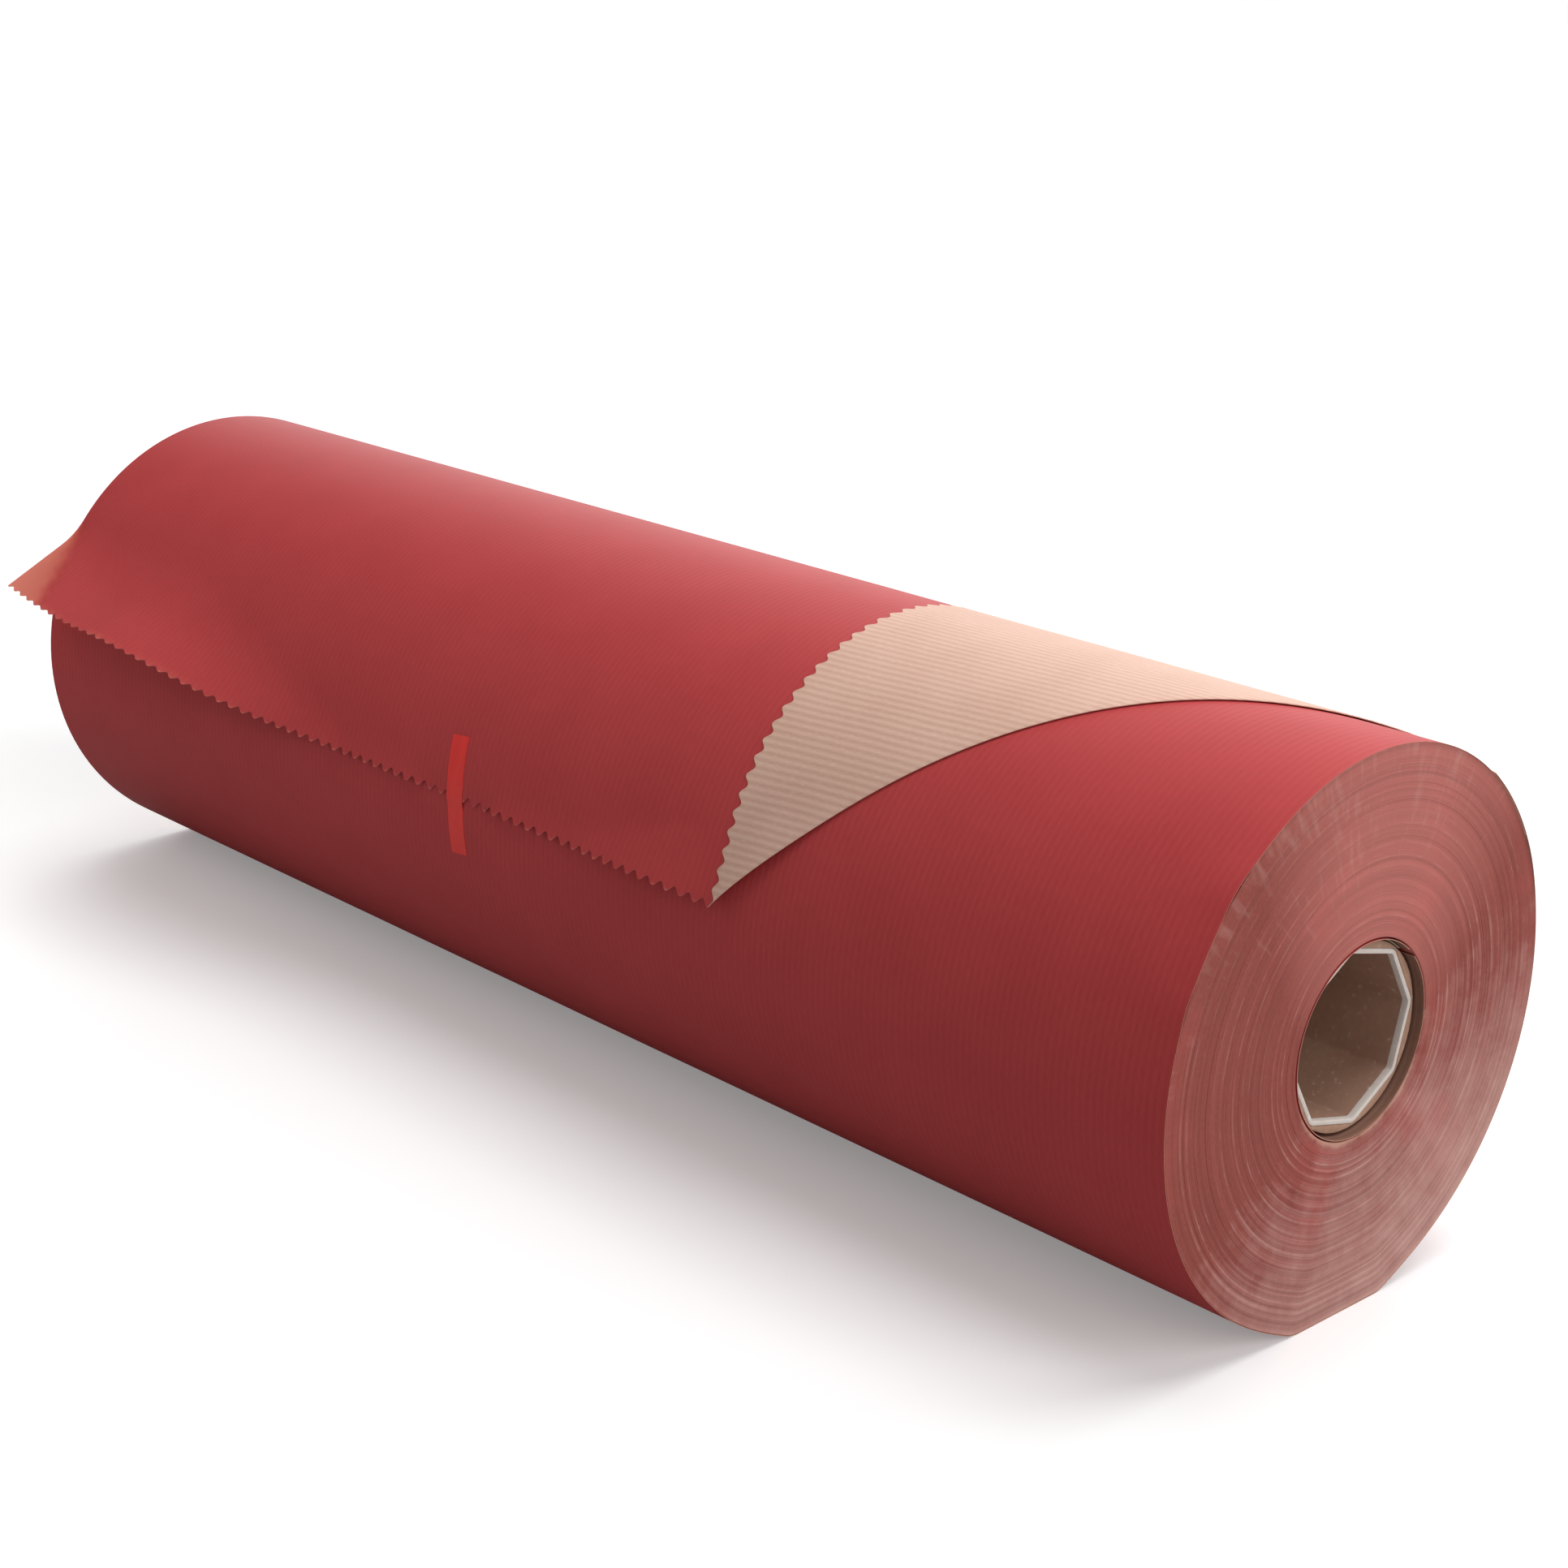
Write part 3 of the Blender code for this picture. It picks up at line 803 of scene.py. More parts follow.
@dataclass
class PrintedWeb:
    """Last turn of the web, with its toothed cut, its fold and its two free corners."""

    form: RollForm
    finishes: Finishes
    sheet: float = 0.12 * MM
    first_face: float = 0.6 * MM
    lap_step: float = 0.45 * MM
    row_step: float = 3.3 * MM
    tooth_pitch: float = 5.25 * MM
    tooth_depth: float = 2.0 * MM
    tooth_far_share: float = 0.55
    tooth_grow_start: float = 61.2 * MM
    tooth_grow_run: float = 153 * MM
    tooth_cuts: int = 7
    cut_arc: float = 111.4 * MM
    cut_slant: float = radians(0.2)
    cut_ease: float = 60 * MM
    cut_slack: float = 0.2 * MM
    fold_reach: float = 153 * MM
    crease_angle: float = radians(46.8)
    fold_gap: float = 0.1 * MM
    bend_steps: int = 6
    detail_reach: float = 62 * MM
    detail_cuts: int = 2
    crease_free: float = 22 * MM
    crease_free_run: float = 44 * MM
    inner_end_past_fold: float = 26 * MM
    climb: float = 25 * MM
    climb_lead: float = 3 * MM
    corner_short: float = 5 * MM
    corner_run: float = 60 * MM
    flare_arc: float = 69 * MM
    flare: tuple[float, float] = (radians(24), radians(27))
    flare_bend: tuple[float, float] = (12 * MM, 28 * MM)
    flare_run: float = 50 * MM
    edge_free: float = 8 * MM
    edge_flare: float = radians(13)
    edge_run: float = 14 * MM
    least_turn: float = 1e-3
    shaded_share: float = 0.1
    free_fade: float = 22 * MM
    daylight_run: float = 21 * MM
    daylight_fade: float = 5 * MM
    wear_most: float = 0.5
    wear_reach: float = 0.9 * MM
    wear_size: float = 9 * MM
    loose_side_leg: float = 42 * MM
    loose_cut_leg: float = 47 * MM
    tip_leg: float = 45 * MM
    tape_x: float = -17 * MM
    tape_width: float = 7.3 * MM
    seam_back: float = 13 * MM
    curl_length: float = 22 * MM
    cockle: float = 0.05 * MM
    cockle_size: float = 55 * MM
    sharp: float = radians(50)
    blisters: tuple[Blister, ...] = (
        Blister(0.75 * MM, radians(47), radians(6), 24 * MM),
        Blister(0.5 * MM, radians(69), radians(4), 14 * MM),
    )

    def __post_init__(self) -> None:
        """Works out the lines of the fold and of the corners."""
        form = self.form
        self.fold_tip = Vector((form.near_end - self.fold_reach, self.cut_arc))
        self.crease = Vector((sin(self.crease_angle), cos(self.crease_angle)))
        self.bend_height = self.sheet + self.fold_gap / 2
        self.bend_length = pi * (self.bend_height - self.sheet / 2)
        crease_end = self.cut_arc - self.fold_reach * tan(self.crease_angle)
        self.inner_end = crease_end - self.inner_end_past_fold
        side = Vector((form.far_end, self.flare_arc))
        run = (Vector((form.far_end + self.daylight_run, self.cut_line(form.far_end))) - side).normalized()
        self.daylight = Seam(side, Vector((-run.y, run.x)))
        self.hinges = {Region.LOOSE: self.loose_hinge(), Region.TIP: self.tip_hinge()}

    def cut_line(self, x: float) -> float:
        """Arc of the tooth tips of the cut, a little out of square and short at the far end."""
        short = max((self.form.far_end + self.corner_run - x) / self.corner_run, 0)
        return self.cut_arc + (x - self.fold_tip.x) * tan(self.cut_slant) - self.corner_short * short**2

    def tooth_edge(self, x: float) -> float:
        """Gives the arc of the cut with its rounded teeth, one of which ends at the fold's tip.

        Args:
            x: place across the web.

        Returns:
            The arc, with shallower teeth at the far end.
        """
        wave = (1 - cos(2 * pi * (x - self.fold_tip.x) / self.tooth_pitch)) / 2
        grown = smooth_step((x - self.form.far_end - self.tooth_grow_start) / self.tooth_grow_run)
        depth = self.tooth_depth * (self.tooth_far_share + (1 - self.tooth_far_share) * grown)
        return self.cut_line(x) - depth * wave

    def at_cut(self, co: Vector) -> bool:
        """True for a flat spot on the line of the tooth tips."""
        return co.y > self.cut_line(co.x) - self.cut_slack

    def valley_near(self, x: float) -> float:
        """The valley between teeth that is nearest to x."""
        first = self.fold_tip.x + self.tooth_pitch / 2
        return first + self.tooth_pitch * round((x - first) / self.tooth_pitch)

    def loose_hinge(self) -> tuple[Vector, Seam]:
        """Gives the middle of the line that the loose corner bends on, and the line.

        Returns:
            The middle in x and s, and the line with its normal to the corner.
        """
        far = self.form.far_end
        side = Vector((far, self.cut_line(far) - self.loose_side_leg))
        valley = self.valley_near(far + self.loose_cut_leg)
        cut = Vector((valley, self.tooth_edge(valley)))
        run = (cut - side).normalized()
        middle = (side + cut) / 2
        return middle, Seam(middle, Vector((-run.y, run.x)))

    def tip_hinge(self) -> tuple[Vector, Seam]:
        """Gives the middle of the line that the folded tip bends on, and the line.

        Returns:
            The middle in x and s, and the line with its normal to the corner.
        """
        near = self.form.near_end
        valley = self.valley_near(near - self.tip_leg)
        cut = Vector((valley, self.tooth_edge(valley)))
        side = Vector((near, cut.y - (near - valley) * tan(self.crease_angle)))
        middle = (side + cut) / 2
        return middle, Seam(middle, self.crease.copy())

    def lap_lift(self, x: float, arc: float) -> float:
        """Gives the lift of the sheet's inner face off the wound body.

        Args:
            x: place across the web.
            arc: length along the web.

        Returns:
            The lift, which climbs over the end of its own turn.
        """
        climb_end = self.inner_end - self.climb_lead
        step = self.lap_step * smooth_step((arc - climb_end + self.climb) / self.climb)
        angle = arc / self.form.develop_radius
        spot = Vector((x, self.form.develop_radius * sin(angle), self.form.develop_radius * cos(angle)))
        wave = self.cockle * (noise.noise(spot / self.cockle_size) - 0.5)
        return self.first_face - self.sheet + step + min(wave, 0) + self.rim_lift(x, arc)

    def rim_lift(self, x: float, arc: float) -> float:
        """Gives how far the first turn springs off the roll at the near end's rim.

        Args:
            x: place across the web.
            arc: length along the web.

        Returns:
            The lift, of two short blisters at the upper front of the rim.
        """
        if arc > self.inner_end - self.form.turn / 2:
            return 0.0
        angle = arc / self.form.develop_radius + 2 * pi
        return sum(blister.lift(angle, self.form.near_end - x) for blister in self.blisters)

    def front_edge(self, x: float) -> float:
        """Arc where the sheet ends on the front: at its cut, or at the crease."""
        return min(self.cut_line(x), self.cut_arc - (x - self.fold_tip.x) * tan(self.crease_angle))

    def flare_share(self, x: float) -> float:
        """Share of the sheet's outward curl at x: all of it at the loose corner, none at the tape."""
        start = self.form.far_end + self.loose_cut_leg + self.tooth_pitch
        return 1 - smooth_step((x - start) / (self.tape_x - self.tape_width - start))

    def edge_share(self, x: float) -> float:
        """Share of the small curl of the cut itself, which the tape and the fold hold down."""
        clear = min(abs(x - self.tape_x) - self.tape_width, (self.fold_tip.x - x) / 3)
        return smooth_step(clear / self.edge_run)

    def freedom(self, co: Vector) -> float:
        """Gives the share to which light gets behind a flat spot of the sheet.

        Args:
            co: x, s and w on the flat web.

        Returns:
            The share: none where the sheet lies down, and all past the line of daylight.
        """
        if self.crease.dot(co.xy - self.fold_tip) > 0:
            return 0.0
        leave = self.departure(co.x)
        if leave == self.front_edge(co.x):
            return 0.0
        shaded = self.shaded_share * smooth_step((co.y - leave) / self.free_fade)
        lit = smooth_step(self.daylight.past(co) / self.daylight_fade + 0.5)
        return shaded + (1 - shaded) * lit

    def wear(self, co: Vector) -> float:
        """Gives the share to which the ink is torn off at a flat spot.

        Args:
            co: x, s and w on the flat web.

        Returns:
            The share, which is most at the tips of some of the teeth.
        """
        tip = smooth_step((co.y - self.cut_line(co.x)) / self.wear_reach + 1)
        patch = smooth_step(noise.noise(Vector((co.x / self.wear_size, 0.3, 0.7))) + 0.6)
        return self.wear_most * tip * patch

    def departure(self, x: float) -> float:
        """Gives the arc where the sheet leaves the roll.

        Args:
            x: place across the web.

        Returns:
            The arc, which is the sheet's end where it lies down.
        """
        edge = self.front_edge(x)
        least = self.edge_free * self.edge_share(x)
        if x < self.tape_x - self.tape_width:
            return edge - max((edge - self.flare_arc) * self.flare_share(x), least)
        start = self.tape_x + self.tape_width
        rise = smooth_step((x - start) / (self.fold_tip.x - start))
        fall = smooth_step((self.fold_tip.x + self.crease_free_run - x) / self.crease_free_run)
        return edge - max(self.crease_free * min(rise, fall), least)

    def place(self, co: Vector) -> Vector:
        """Gives the place of a folded point of the web on the roll.

        Args:
            co: x, arc and height above the sheet's inner face.

        Returns:
            The place in the frame.
        """
        leave = self.departure(co.x)
        if co.y <= leave or leave == self.front_edge(co.x):
            return self.form.point(co.x, co.y, self.lap_lift(co.x, co.y) + co.z)
        foot = self.form.point(co.x, leave, self.lap_lift(co.x, leave) + co.z)
        run = co.y - leave
        share, least = self.flare_share(co.x), self.edge_share(co.x)
        past = smooth_step((co.x - self.form.far_end) / self.flare_run)
        turn = share * (self.flare[0] + (self.flare[1] - self.flare[0]) * past)
        length = share * (self.flare_bend[0] + (self.flare_bend[1] - self.flare_bend[0]) * past)
        turn, length = max(turn, least * self.edge_flare), max(length, least * self.edge_free)
        if turn < self.least_turn:
            return foot + run * self.form.along(leave)
        arm = length / turn - co.z
        bend = turn * min(run / length, 1)
        onward = arm * sin(bend) + max(run - length, 0) * cos(turn)
        off = arm * (1 - cos(bend)) + max(run - length, 0) * sin(turn)
        return foot + onward * self.form.along(leave) + off * self.form.outward(leave)

    def folded(self, co: Vector) -> Vector:
        """Folds a flat point over the crease, round a tight bend.

        Args:
            co: x, s and w on the flat web.

        Returns:
            x, arc and height after the fold.
        """
        past = self.crease.dot(co.xy - self.fold_tip)
        if past <= 0:
            return co.copy()
        reach = self.bend_height - co.z
        bend = min(pi * past / self.bend_length, pi)
        across = reach * sin(bend) - max(past - self.bend_length, 0)
        shift = (across - past) * self.crease
        return Vector((co.x + shift.x, co.y + shift.y, self.bend_height - reach * cos(bend)))

    def needs_detail(self, co: Vector) -> bool:
        """True near the fold's tip, where the sheet bends two ways at once, but not at the teeth."""
        inside = abs(co.x - self.fold_tip.x) < self.detail_reach and co.y > self.cut_arc - self.detail_reach
        return inside and co.y < self.cut_line(co.x) - self.row_step / 2

    def columns(self) -> list[float]:
        """Gives the places across the web of its two sides and of the valleys between teeth.

        Returns:
            The places, from the far end to the near end.
        """
        near, far = self.form.near_end, self.form.far_end
        x = self.valley_near(far) + self.tooth_pitch
        inner = []
        while x < near - self.tooth_pitch / 2:
            inner.append(x)
            x += self.tooth_pitch
        return [far, *inner, near]

    def flat(self) -> Mesh:
        """Draws the flat web, toothed along its cut and scored for its fold and corners.

        Returns:
            The flat mesh, in x and s.
        """
        columns = self.columns()
        start = self.inner_end - self.form.turn
        rows = ceil((self.cut_arc - start) / self.row_step)
        bm = bmesh.new()
        bmesh.ops.create_grid(bm, x_segments=len(columns) - 1, y_segments=rows, size=0.5)
        for vert in bm.verts:
            x = columns[round((vert.co.x + 0.5) * (len(columns) - 1))]
            arc = start + (self.cut_arc - start) * (vert.co.y + 0.5)
            ease = smooth_step((arc - self.cut_arc + self.cut_ease) / self.cut_ease)
            vert.co = (x, arc + (self.cut_line(x) - self.cut_arc) * ease, 0)
        near_tip = [e for e in bm.edges if all(self.needs_detail(v.co) for v in e.verts)]
        bmesh.ops.subdivide_edges(bm, edges=near_tip, cuts=self.detail_cuts, use_grid_fill=True)
        last = [e for e in bm.edges if e.is_boundary and all(self.at_cut(v.co) for v in e.verts)]
        bmesh.ops.subdivide_edges(bm, edges=last, cuts=self.tooth_cuts)
        for vert in bm.verts:
            if self.at_cut(vert.co):
                vert.co.y = self.tooth_edge(vert.co.x)
        for step in range(self.bend_steps + 1):
            score(bm, self.fold_tip + self.crease * (self.bend_length * step / self.bend_steps), self.crease)
        for _, hinge in self.hinges.values():
            line = hinge.moved(-self.seam_back)
            score(bm, line.point, line.normal)
        return bm

    def region(self, spot: Vector) -> Region:
        """Names the piece that a flat spot of the web belongs to.

        Args:
            spot: x and s on the flat web.

        Returns:
            The corner whose line the spot is past, or else the turn.
        """
        for region, (_, hinge) in self.hinges.items():
            if hinge.past(spot) > -self.seam_back:
                return region
        return Region.TURN

    def piece(self, flat: Mesh, region: Region) -> Piece:
        """Makes one piece of the web, folded and wound.

        Args:
            flat: the whole flat web.
            region: the piece that is wanted.

        Returns:
            The new object.
        """
        bm = flat.copy()
        others = [f for f in bm.faces if self.region(f.calc_center_median()) is not region]
        bmesh.ops.delete(bm, geom=others, context="FACES")
        area = sum(f.calc_area() for f in bm.faces)
        thicken(bm, self.sheet)
        map_web(bm)
        bmesh.ops.triangulate(bm, faces=[f for f in bm.faces if len(f.verts) > 4])
        free, worn = [bm.verts.layers.float.new(name) for name in (FREE, WORN)]
        for vert in bm.verts:
            vert[free] = self.freedom(vert.co)
            vert[worn] = self.wear(vert.co)
            vert.co = self.place(self.folded(vert.co))
        sheet = finish_mesh(bm, f"{region.value}_sheet", self.finishes.sheet(), self.sharp)
        return sheet

    def curl(self, region: Region) -> tuple[Vector, Vector]:
        """Gives the points between which a free corner bends.

        Args:
            region: one of the two free corners.

        Returns:
            The last point that stays with the roll, and the first that turns fully.
        """
        middle, hinge = self.hinges[region]
        ends = [middle, middle + hinge.normal * self.curl_length]
        first, last = [self.place(self.folded(Vector((*end, self.sheet / 2)))) for end in ends]
        return first, last

    def build(self) -> list[Piece]:
        """Builds the turn and its two free corners, and ties the turn to the roll's body.

        Returns:
            The three pieces.
        """
        flat = self.flat()
        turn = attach(self.piece(flat, Region.TURN), Body.ROLL.value)
        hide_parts("outer_turn")
        loose = self.piece(flat, Region.LOOSE)
        first, last = self.curl(Region.LOOSE)
        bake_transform(loose)
        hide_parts("loose_corner")
        tip = self.piece(flat, Region.TIP)
        first, last = self.curl(Region.TIP)
        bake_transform(tip)
        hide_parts("folded_tip")
        flat.free()
        return [turn, loose, tip]


@dataclass
class WoundBody:
    """All the turns between the first and the last, whose cut edges show as rings on both ends."""

    form: RollForm
    finishes: Finishes
    bore: float = 26.3 * MM
    lift: float = 0.4 * MM
    ring_low: float = 0.4 * MM
    ring_high: float = 1.3 * MM
    step_depth: float = 0.14 * MM
    step_share: float = 0.86
    step_tilt: float = 0.7
    rim_round: float = 0.2 * MM
    sharp: float = radians(35)
    spin_steps: int = 192
    press_reach: int = 2
    seed: int = 4

    def rings(self, draw: random.Random) -> list[tuple[float, float]]:
        """Draws the small steps of one end, from the bore to the rim.

        Args:
            draw: source of the ring widths and depths.

        Returns:
            Pairs of radius and depth below the end.
        """
        rim = self.form.wound_radius + self.lift
        steps = [(self.bore, self.rim_round)]
        radius = self.bore + self.rim_round
        while radius < rim - self.ring_high:
            width = draw.uniform(self.ring_low, self.ring_high)
            depth = self.step_depth * draw.random() ** 2
            outer = depth * draw.uniform(self.step_tilt, 1.0)
            steps += [(radius, depth), (radius + width * self.step_share, outer)]
            radius += width
        return [*steps, (rim - self.rim_round, 0.0), (rim, self.rim_round)]

    def build(self) -> Piece:
        """Spins the stepped profile round the axis and presses its flat.

        Returns:
            The new object.
        """
        draw = random.Random(self.seed)
        near = [(self.form.near_end - depth, radius) for radius, depth in self.rings(draw)]
        far = [(self.form.far_end + depth, radius) for radius, depth in self.rings(draw)]
        bm = bmesh.new()
        profile = [*near, *reversed(far)]
        verts = [bm.verts.new((x, 0, self.form.axis_height + radius)) for x, radius in profile]
        edges = [bm.edges.new(pair) for pair in zip(verts, [*verts[1:], verts[0]])]
        bmesh.ops.spin(
            bm,
            geom=[*verts, *edges],
            cent=(0, 0, self.form.axis_height),
            axis=(1, 0, 0),
            angle=2 * pi,
            steps=self.spin_steps,
            use_merge=True,
        )
        turns = bm.verts.layers.float.new(TURN_RADIUS)
        rim = self.form.wound_radius + self.lift
        for vert in bm.verts:
            arm = Vector((0, vert.co.y, vert.co.z - self.form.axis_height))
            vert[turns] = arm.length
            angle = -arm.yz.angle_signed(Vector((0, 1)))
            share = (arm.length - self.bore) / (rim - self.bore)
            press = (self.form.radius(angle, self.lift) - rim) * share**self.press_reach
            arm *= 1 + press / arm.length
            vert.co = (vert.co.x, arm.y, self.form.axis_height + arm.z)
        piece = finish_mesh(bm, "wound_turns", [self.finishes.edges], self.sharp)
        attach(piece, Body.ROLL.value)
        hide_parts("wound_paper")
        return piece


@dataclass
class BoardCore:
    """Eight-sided board core: a thin liner with a pale cut rim in a brown tube."""

    form: RollForm
    finishes: Finishes
    apothem: float = 21.25 * MM
    sides: int = 8
    corner: float = radians(8.5)
    liner_wall: float = 1.35 * MM
    seat_gap: float = 0.05 * MM
    outer_radius: float = 24.9 * MM
    recess: float = 2.75 * MM
    corner_round: float = 1.1 * MM
    corner_cuts: int = 6
    rim_round: float = 0.3 * MM
    rim_cuts: int = 2
    rim_angle: float = radians(60)
    rim_wear: float = 1.8 * MM
    sharp: float = radians(40)

    def end_place(self) -> Matrix:
        """Place and turn of the outlines, which are drawn at the far end of the core."""
        turn = Matrix.Rotation(self.corner, 4, "X") @ Matrix.Rotation(-pi / 2, 4, "Y")
        return Matrix.Translation((self.form.far_end + self.recess, 0, self.form.axis_height)) @ turn

    def outline(self, bm: Mesh, apothem: float) -> bmesh.types.BMFace:
        """Draws an eight-sided face with rounded corners at the far end of the core.

        Args:
            bm: the mesh that gets the face.
            apothem: distance of the sides from the axis.

        Returns:
            The new face.
        """
        reach = apothem / cos(pi / self.sides)
        place = self.end_place()
        made = bmesh.ops.create_circle(bm, cap_ends=True, segments=self.sides, radius=reach, matrix=place)
        round_off(bm, made["verts"], self.corner_round, "VERTICES", self.corner_cuts)
        bm.faces.ensure_lookup_table()
        return bm.faces[-1]

    def drawn_out(self, bm: Mesh) -> None:
        """Draws a ring of faces out along the core and rounds its rims.

        Args:
            bm: the mesh that holds the ring.
        """
        ring = list(bm.faces)
        raised = bmesh.ops.extrude_face_region(bm, geom=ring, use_keep_orig=True)["geom"]
        moved = [item for item in raised if isinstance(item, bmesh.types.BMVert)]
        bmesh.ops.translate(bm, verts=moved, vec=(self.form.length - 2 * self.recess, 0, 0))
        bmesh.ops.recalc_face_normals(bm, faces=bm.faces)
        joined = [e for e in bm.edges if len(e.link_faces) == 2]
        rims = [e for e in joined if abs(e.calc_face_angle()) > self.rim_angle]
        round_off(bm, rims, self.rim_round, "EDGES", self.rim_cuts)

    def liner(self) -> Piece:
        """Builds the thin liner, pale where it is cut.

        Returns:
            The new object.
        """
        bm = bmesh.new()
        outer = self.outline(bm, self.apothem + self.liner_wall)
        wall = self.liner_wall
        bmesh.ops.inset_region(bm, faces=[outer], thickness=wall, use_even_offset=True, use_boundary=True)
        bmesh.ops.delete(bm, geom=[outer], context="FACES_ONLY")
        self.drawn_out(bm)
        worn = self.form.length / 2 - self.recess - self.rim_wear
        for end in (-worn, worn):
            parts = [*bm.verts, *bm.edges, *bm.faces]
            bmesh.ops.bisect_plane(bm, geom=parts, plane_co=(end, 0, 0), plane_no=(1, 0, 0))
        bm.normal_update()
        for face in bm.faces:
            face.material_index = 1 if abs(face.calc_center_median().x) > worn else 0
        piece = finish_mesh(bm, "core_liner_board", [self.finishes.board, self.finishes.rim], self.sharp)
        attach(piece, Body.ROLL.value)
        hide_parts("core_liner")
        return piece

    def tube(self) -> Piece:
        """Builds the brown tube, eight-sided within and round outside.

        Returns:
            The new object.
        """
        bm = bmesh.new()
        inner = self.outline(bm, self.apothem + self.liner_wall + self.seat_gap)
        count = len(inner.verts)
        bmesh.ops.delete(bm, geom=[inner], context="FACES_ONLY")
        place = self.end_place()
        bmesh.ops.create_circle(bm, cap_ends=False, segments=count, radius=self.outer_radius, matrix=place)
        bmesh.ops.bridge_loops(bm, edges=list(bm.edges))
        self.drawn_out(bm)
        piece = finish_mesh(bm, "core_tube_board", [self.finishes.board], self.sharp)
        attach(piece, Body.ROLL.value)
        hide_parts("core_tube")
        return piece


@dataclass
class FirstTurn:
    """First turn of the web on the core, its brown face inwards and its end a little proud."""

    form: RollForm
    finishes: Finishes
    inner_radius: float = 25.7 * MM
    sheet: float = 0.2 * MM
    start: float = radians(-40)
    sweep: float = radians(352)
    steps: int = 88
    sharp: float = radians(50)

    def build(self) -> Piece:
        """Draws the sheet flat, gives it its thickness and lays it round the core.

        Returns:
            The new object.
        """
        bm = bmesh.new()
        bmesh.ops.create_grid(bm, x_segments=1, y_segments=self.steps, size=0.5)
        length = self.sweep * self.inner_radius
        for vert in bm.verts:
            vert.co = (vert.co.x * self.form.length, (vert.co.y + 0.5) * length, 0)
        thicken(bm, self.sheet)
        map_web(bm)
        for vert in bm.verts:
            angle = self.start + vert.co.y / self.inner_radius
            radius = self.inner_radius + vert.co.z
            vert.co = (vert.co.x, -radius * sin(angle), self.form.axis_height + radius * cos(angle))
        # The inner face takes the darker kraft, painted shade for the recess wall.
        finishes = [self.finishes.printed, self.finishes.recess_shade, self.finishes.cut]
        piece = finish_mesh(bm, "first_turn_sheet", finishes, self.sharp)
        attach(piece, Body.ROLL.value)
        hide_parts("first_turn")
        return piece


@dataclass
class ClosingTape:
    """Short strip of film that holds the cut edge down on the roll."""

    web: PrintedWeb
    finishes: Finishes
    thickness: float = 0.08 * MM
    length: float = 35.5 * MM
    on_sheet: float = 18.9 * MM
    tilt: float = radians(5.6)
    drop: float = 2.4 * MM
    seat: float = 0.03 * MM
    corner_round: float = 0.5 * MM
    corner_cuts: int = 4
    rows: int = 28
    sharp: float = radians(50)

    def lift(self, arc: float) -> float:
        """Gives the lift of the film's inner face off the wound body.

        Args:
            arc: length along the web.

        Returns:
            The lift, which is high over the sheet and drops to the turn below past its cut.
        """
        tips = self.web.cut_line(self.web.tape_x)
        high = self.web.first_face + self.web.lap_step + self.seat
        return high - self.web.lap_step * smooth_step((arc - tips) / self.drop)

    def build(self) -> Piece:
        """Draws the strip flat, scores it across and lays it over the cut.

        Returns:
            The new object.
        """
        along = Vector((sin(self.tilt), cos(self.tilt)))
        across = Vector((cos(self.tilt), -sin(self.tilt)))
        middle = Vector((self.web.tape_x, self.web.cut_line(self.web.tape_x))) - along * self.on_sheet
        bm = bmesh.new()
        bmesh.ops.create_grid(bm, x_segments=1, y_segments=1, size=0.5)
        for vert in bm.verts:
            spot = middle + across * vert.co.x * self.web.tape_width + along * (vert.co.y + 0.5) * self.length
            vert.co = (*spot, 0)
        round_off(bm, list(bm.verts), self.corner_round, "VERTICES", self.corner_cuts)
        for row in range(1, self.rows):
            score(bm, middle + along * (self.length * row / self.rows), along)
        thicken(bm, self.thickness)
        for face in bm.faces:
            face.material_index = 0
        bmesh.ops.triangulate(bm, faces=[f for f in bm.faces if len(f.verts) > 4])
        for vert in bm.verts:
            vert.co = self.web.form.point(vert.co.x, vert.co.y, self.lift(vert.co.y) + vert.co.z)
        piece = finish_mesh(bm, "closing_tape_film", [self.finishes.tape], self.sharp)
        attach(piece, Body.ROLL.value)
        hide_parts("closing_tape")
        return piece


@dataclass(frozen=True)
class Lamp:
    """A wide sun or a soft box, which shines from its place to its aim."""

    name: str
    kind: LampKind
    power: float
    softness: float
    place: tuple[float, float, float]
    aim: tuple[float, float, float]

    def hang(self) -> None:
        """Makes the lamp and turns it to its aim."""
        lamp = bpy.data.lights.new(self.name, self.kind.value)
        lamp.energy = self.power
        if self.kind is LampKind.SUN:
            lamp.angle = self.softness
        else:
            lamp.size = self.softness
        holder = bpy.data.objects.new(self.name, lamp)
        holder.location = self.place
        towards = Vector(self.aim) - Vector(self.place)
        holder.rotation_euler = towards.to_track_quat("-Z", "Y").to_euler()
        bpy.context.scene.collection.objects.link(holder)


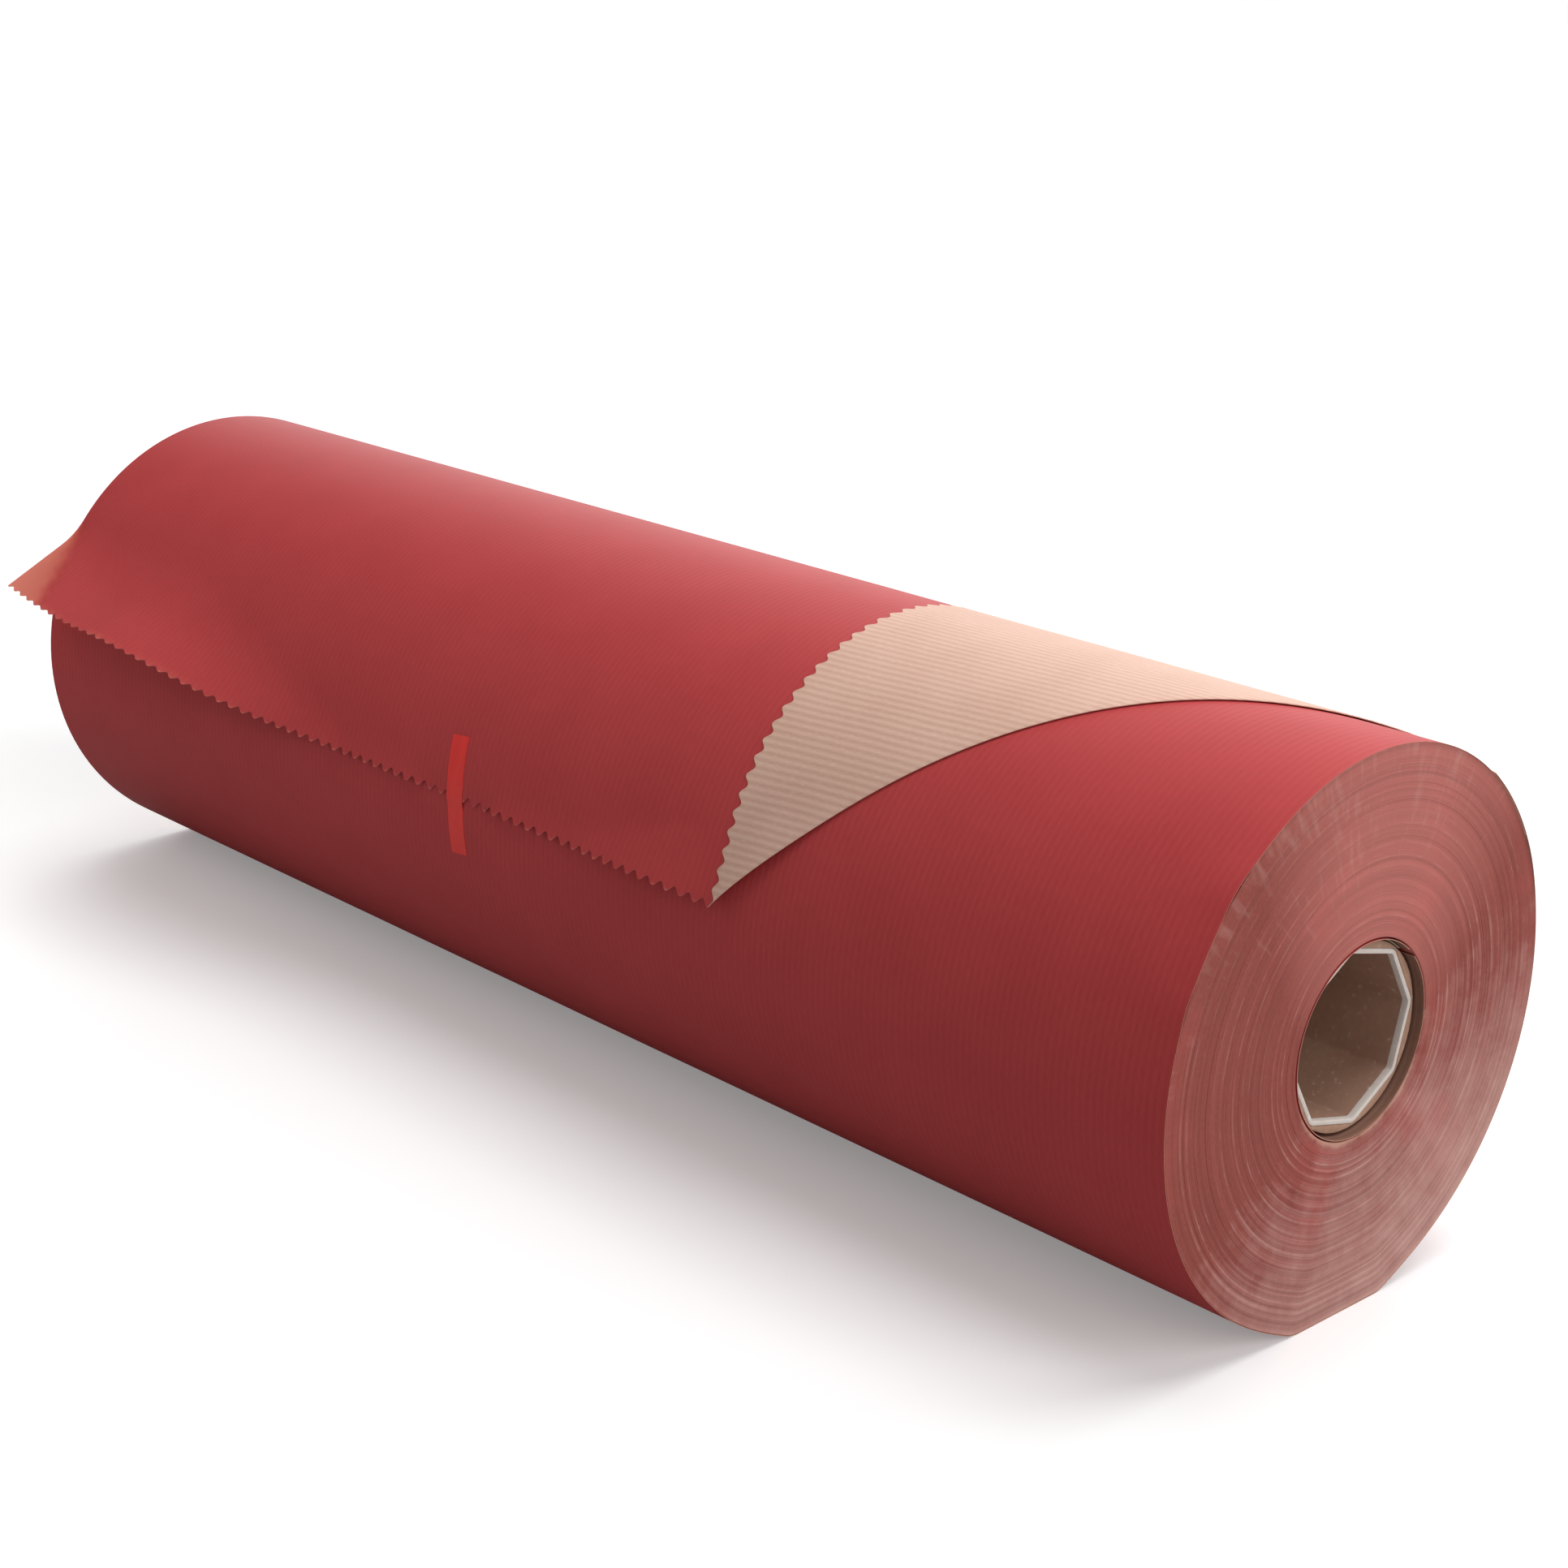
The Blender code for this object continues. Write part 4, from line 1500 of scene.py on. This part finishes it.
@dataclass
class Studio:
    """Plain white table, soft light from above and behind, and the camera."""

    floor_size: float = 12.0
    floor_colour: str = "f7f7f7"
    floor_glow: float = 0.23
    bounce_colour: str = "b4b4b4"
    sky: float = 0.2
    lamps: tuple[Lamp, ...] = (
        Lamp("key", LampKind.SUN, 1.12, radians(42), (0, 0, 0), (0.05, -0.08, -1.0)),
        Lamp("back", LampKind.SUN, 1.3, radians(50), (0, 0, 0), (0.7, -0.75, -0.35)),
        Lamp("side", LampKind.SUN, 1.5, radians(60), (0, 0, 0), (-1.0, -0.02, -0.45)),
        Lamp("near_box", LampKind.BOX, 1.0, 0.35, (0.3, 0.2, 0.5), (0.23, 0, 0.15)),
        Lamp("front_box", LampKind.BOX, 0.36, 0.35, (-0.35, -0.5, 0.45), (-0.05, 0, 0.08)),
    )
    lens: float = 64.883
    sensor: float = 36.0
    eye: tuple[float, float, float] = (0.61287, -0.54403, 0.34537)
    yaw: float = radians(136.335)
    pitch: float = radians(-18.106)
    roll: float = radians(1.609)

    def seen_ray(self, tree: Tree) -> Socket:
        """Marks the rays that look at the white surround, straight or through the sheet.

        Args:
            tree: the tree that gets the nodes.

        Returns:
            A socket that is 1 for those rays and 0 for all other rays.
        """
        path = add_node(tree, "LightPath")
        seen = {0: path["Is Camera Ray"], 1: path["Is Transmission Ray"]}
        return add_node(tree, "Math", seen, operation="MAXIMUM")[0]

    def floor(self) -> None:
        """Lays the white table."""
        bm = bmesh.new()
        bmesh.ops.create_grid(bm, x_segments=8, y_segments=8, size=self.floor_size / 2)
        mesh = bpy.data.meshes.new("floor")
        bm.to_mesh(mesh)
        bm.free()
        material, tree = start_material("white_table")
        seen_ray = self.seen_ray(tree)
        card = add_node(tree, "BsdfDiffuse", {"Color": linear(self.floor_colour)})[0]
        glow = add_node(tree, "Emission", {"Strength": self.floor_glow})[0]
        seen = add_node(tree, "AddShader", {0: card, 1: glow})[0]
        dull = add_node(tree, "BsdfDiffuse", {"Color": linear(self.bounce_colour)})[0]
        table = add_node(tree, "MixShader", {0: seen_ray, 1: dull, 2: seen})[0]
        add_node(tree, "OutputMaterial", {0: table})
        mesh.materials.append(material)
        floor = bpy.data.objects.new("floor", mesh)
        bpy.context.scene.collection.objects.link(floor)

    def lights(self) -> None:
        """Sets the white surround, three wide lamps and two soft boxes."""
        world = bpy.data.worlds.new("white_studio")
        bpy.context.scene.world = world
        world.use_nodes = True
        tree = world.node_tree
        tree.nodes.clear()
        seen_ray = self.seen_ray(tree)
        shade, white = [
            add_node(tree, "Background", {"Color": linear("ffffff"), "Strength": strength})[0]
            for strength in (self.sky, 1.0)
        ]
        mix = add_node(tree, "MixShader", {0: seen_ray, 1: shade, 2: white})[0]
        add_node(tree, "OutputWorld", {0: mix})
        for lamp in self.lamps:
            lamp.hang()

    def camera(self) -> None:
        """Places the camera at the fitted view."""
        data = bpy.data.cameras.new("view")
        data.sensor_width = self.sensor
        data.lens = self.lens
        data.clip_start = 0.01
        forward = Vector((cos(self.pitch) * cos(self.yaw), cos(self.pitch) * sin(self.yaw), sin(self.pitch)))
        level = Vector((sin(self.yaw), -cos(self.yaw), 0))
        upright = level.cross(forward)
        right = cos(self.roll) * level + sin(self.roll) * upright
        up = -sin(self.roll) * level + cos(self.roll) * upright
        turn = Matrix((right, up, -forward)).transposed().to_4x4()
        camera = bpy.data.objects.new("view", data)
        camera.matrix_world = Matrix.Translation(self.eye) @ turn
        bpy.context.scene.collection.objects.link(camera)
        bpy.context.scene.camera = camera

    def build(self) -> None:
        """Builds the table, the light and the camera."""
        bpy.context.scene.view_settings.view_transform = "Standard"
        self.floor()
        self.lights()
        self.camera()


def clear_scene() -> None:
    """Removes the objects that the scene starts with."""
    for item in list(bpy.data.objects):
        bpy.data.objects.remove(item, do_unlink=True)


def main() -> None:
    """Builds the roll piece by piece round its CAD frame."""
    logging.basicConfig(level=logging.INFO, format="%(name)s: %(message)s")
    clear_scene()
    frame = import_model()
    Studio().build()
    form = RollForm()
    finishes = Finishes()
    web = PrintedWeb(form, finishes)
    core = BoardCore(form, finishes)
    pieces = [
        core.liner(),
        core.tube(),
        FirstTurn(form, finishes).build(),
        WoundBody(form, finishes).build(),
        *web.build(),
        ClosingTape(web, finishes).build(),
    ]
    strip = frame["nodes"]["start_tape"]
    strip.data.materials.clear()
    strip.data.materials.append(finishes.strip)
    for piece in [*pieces, strip]:
        LOG.info("%s: %d faces", piece.name, len(piece.data.polygons))


if __name__ == "__main__":
    main()
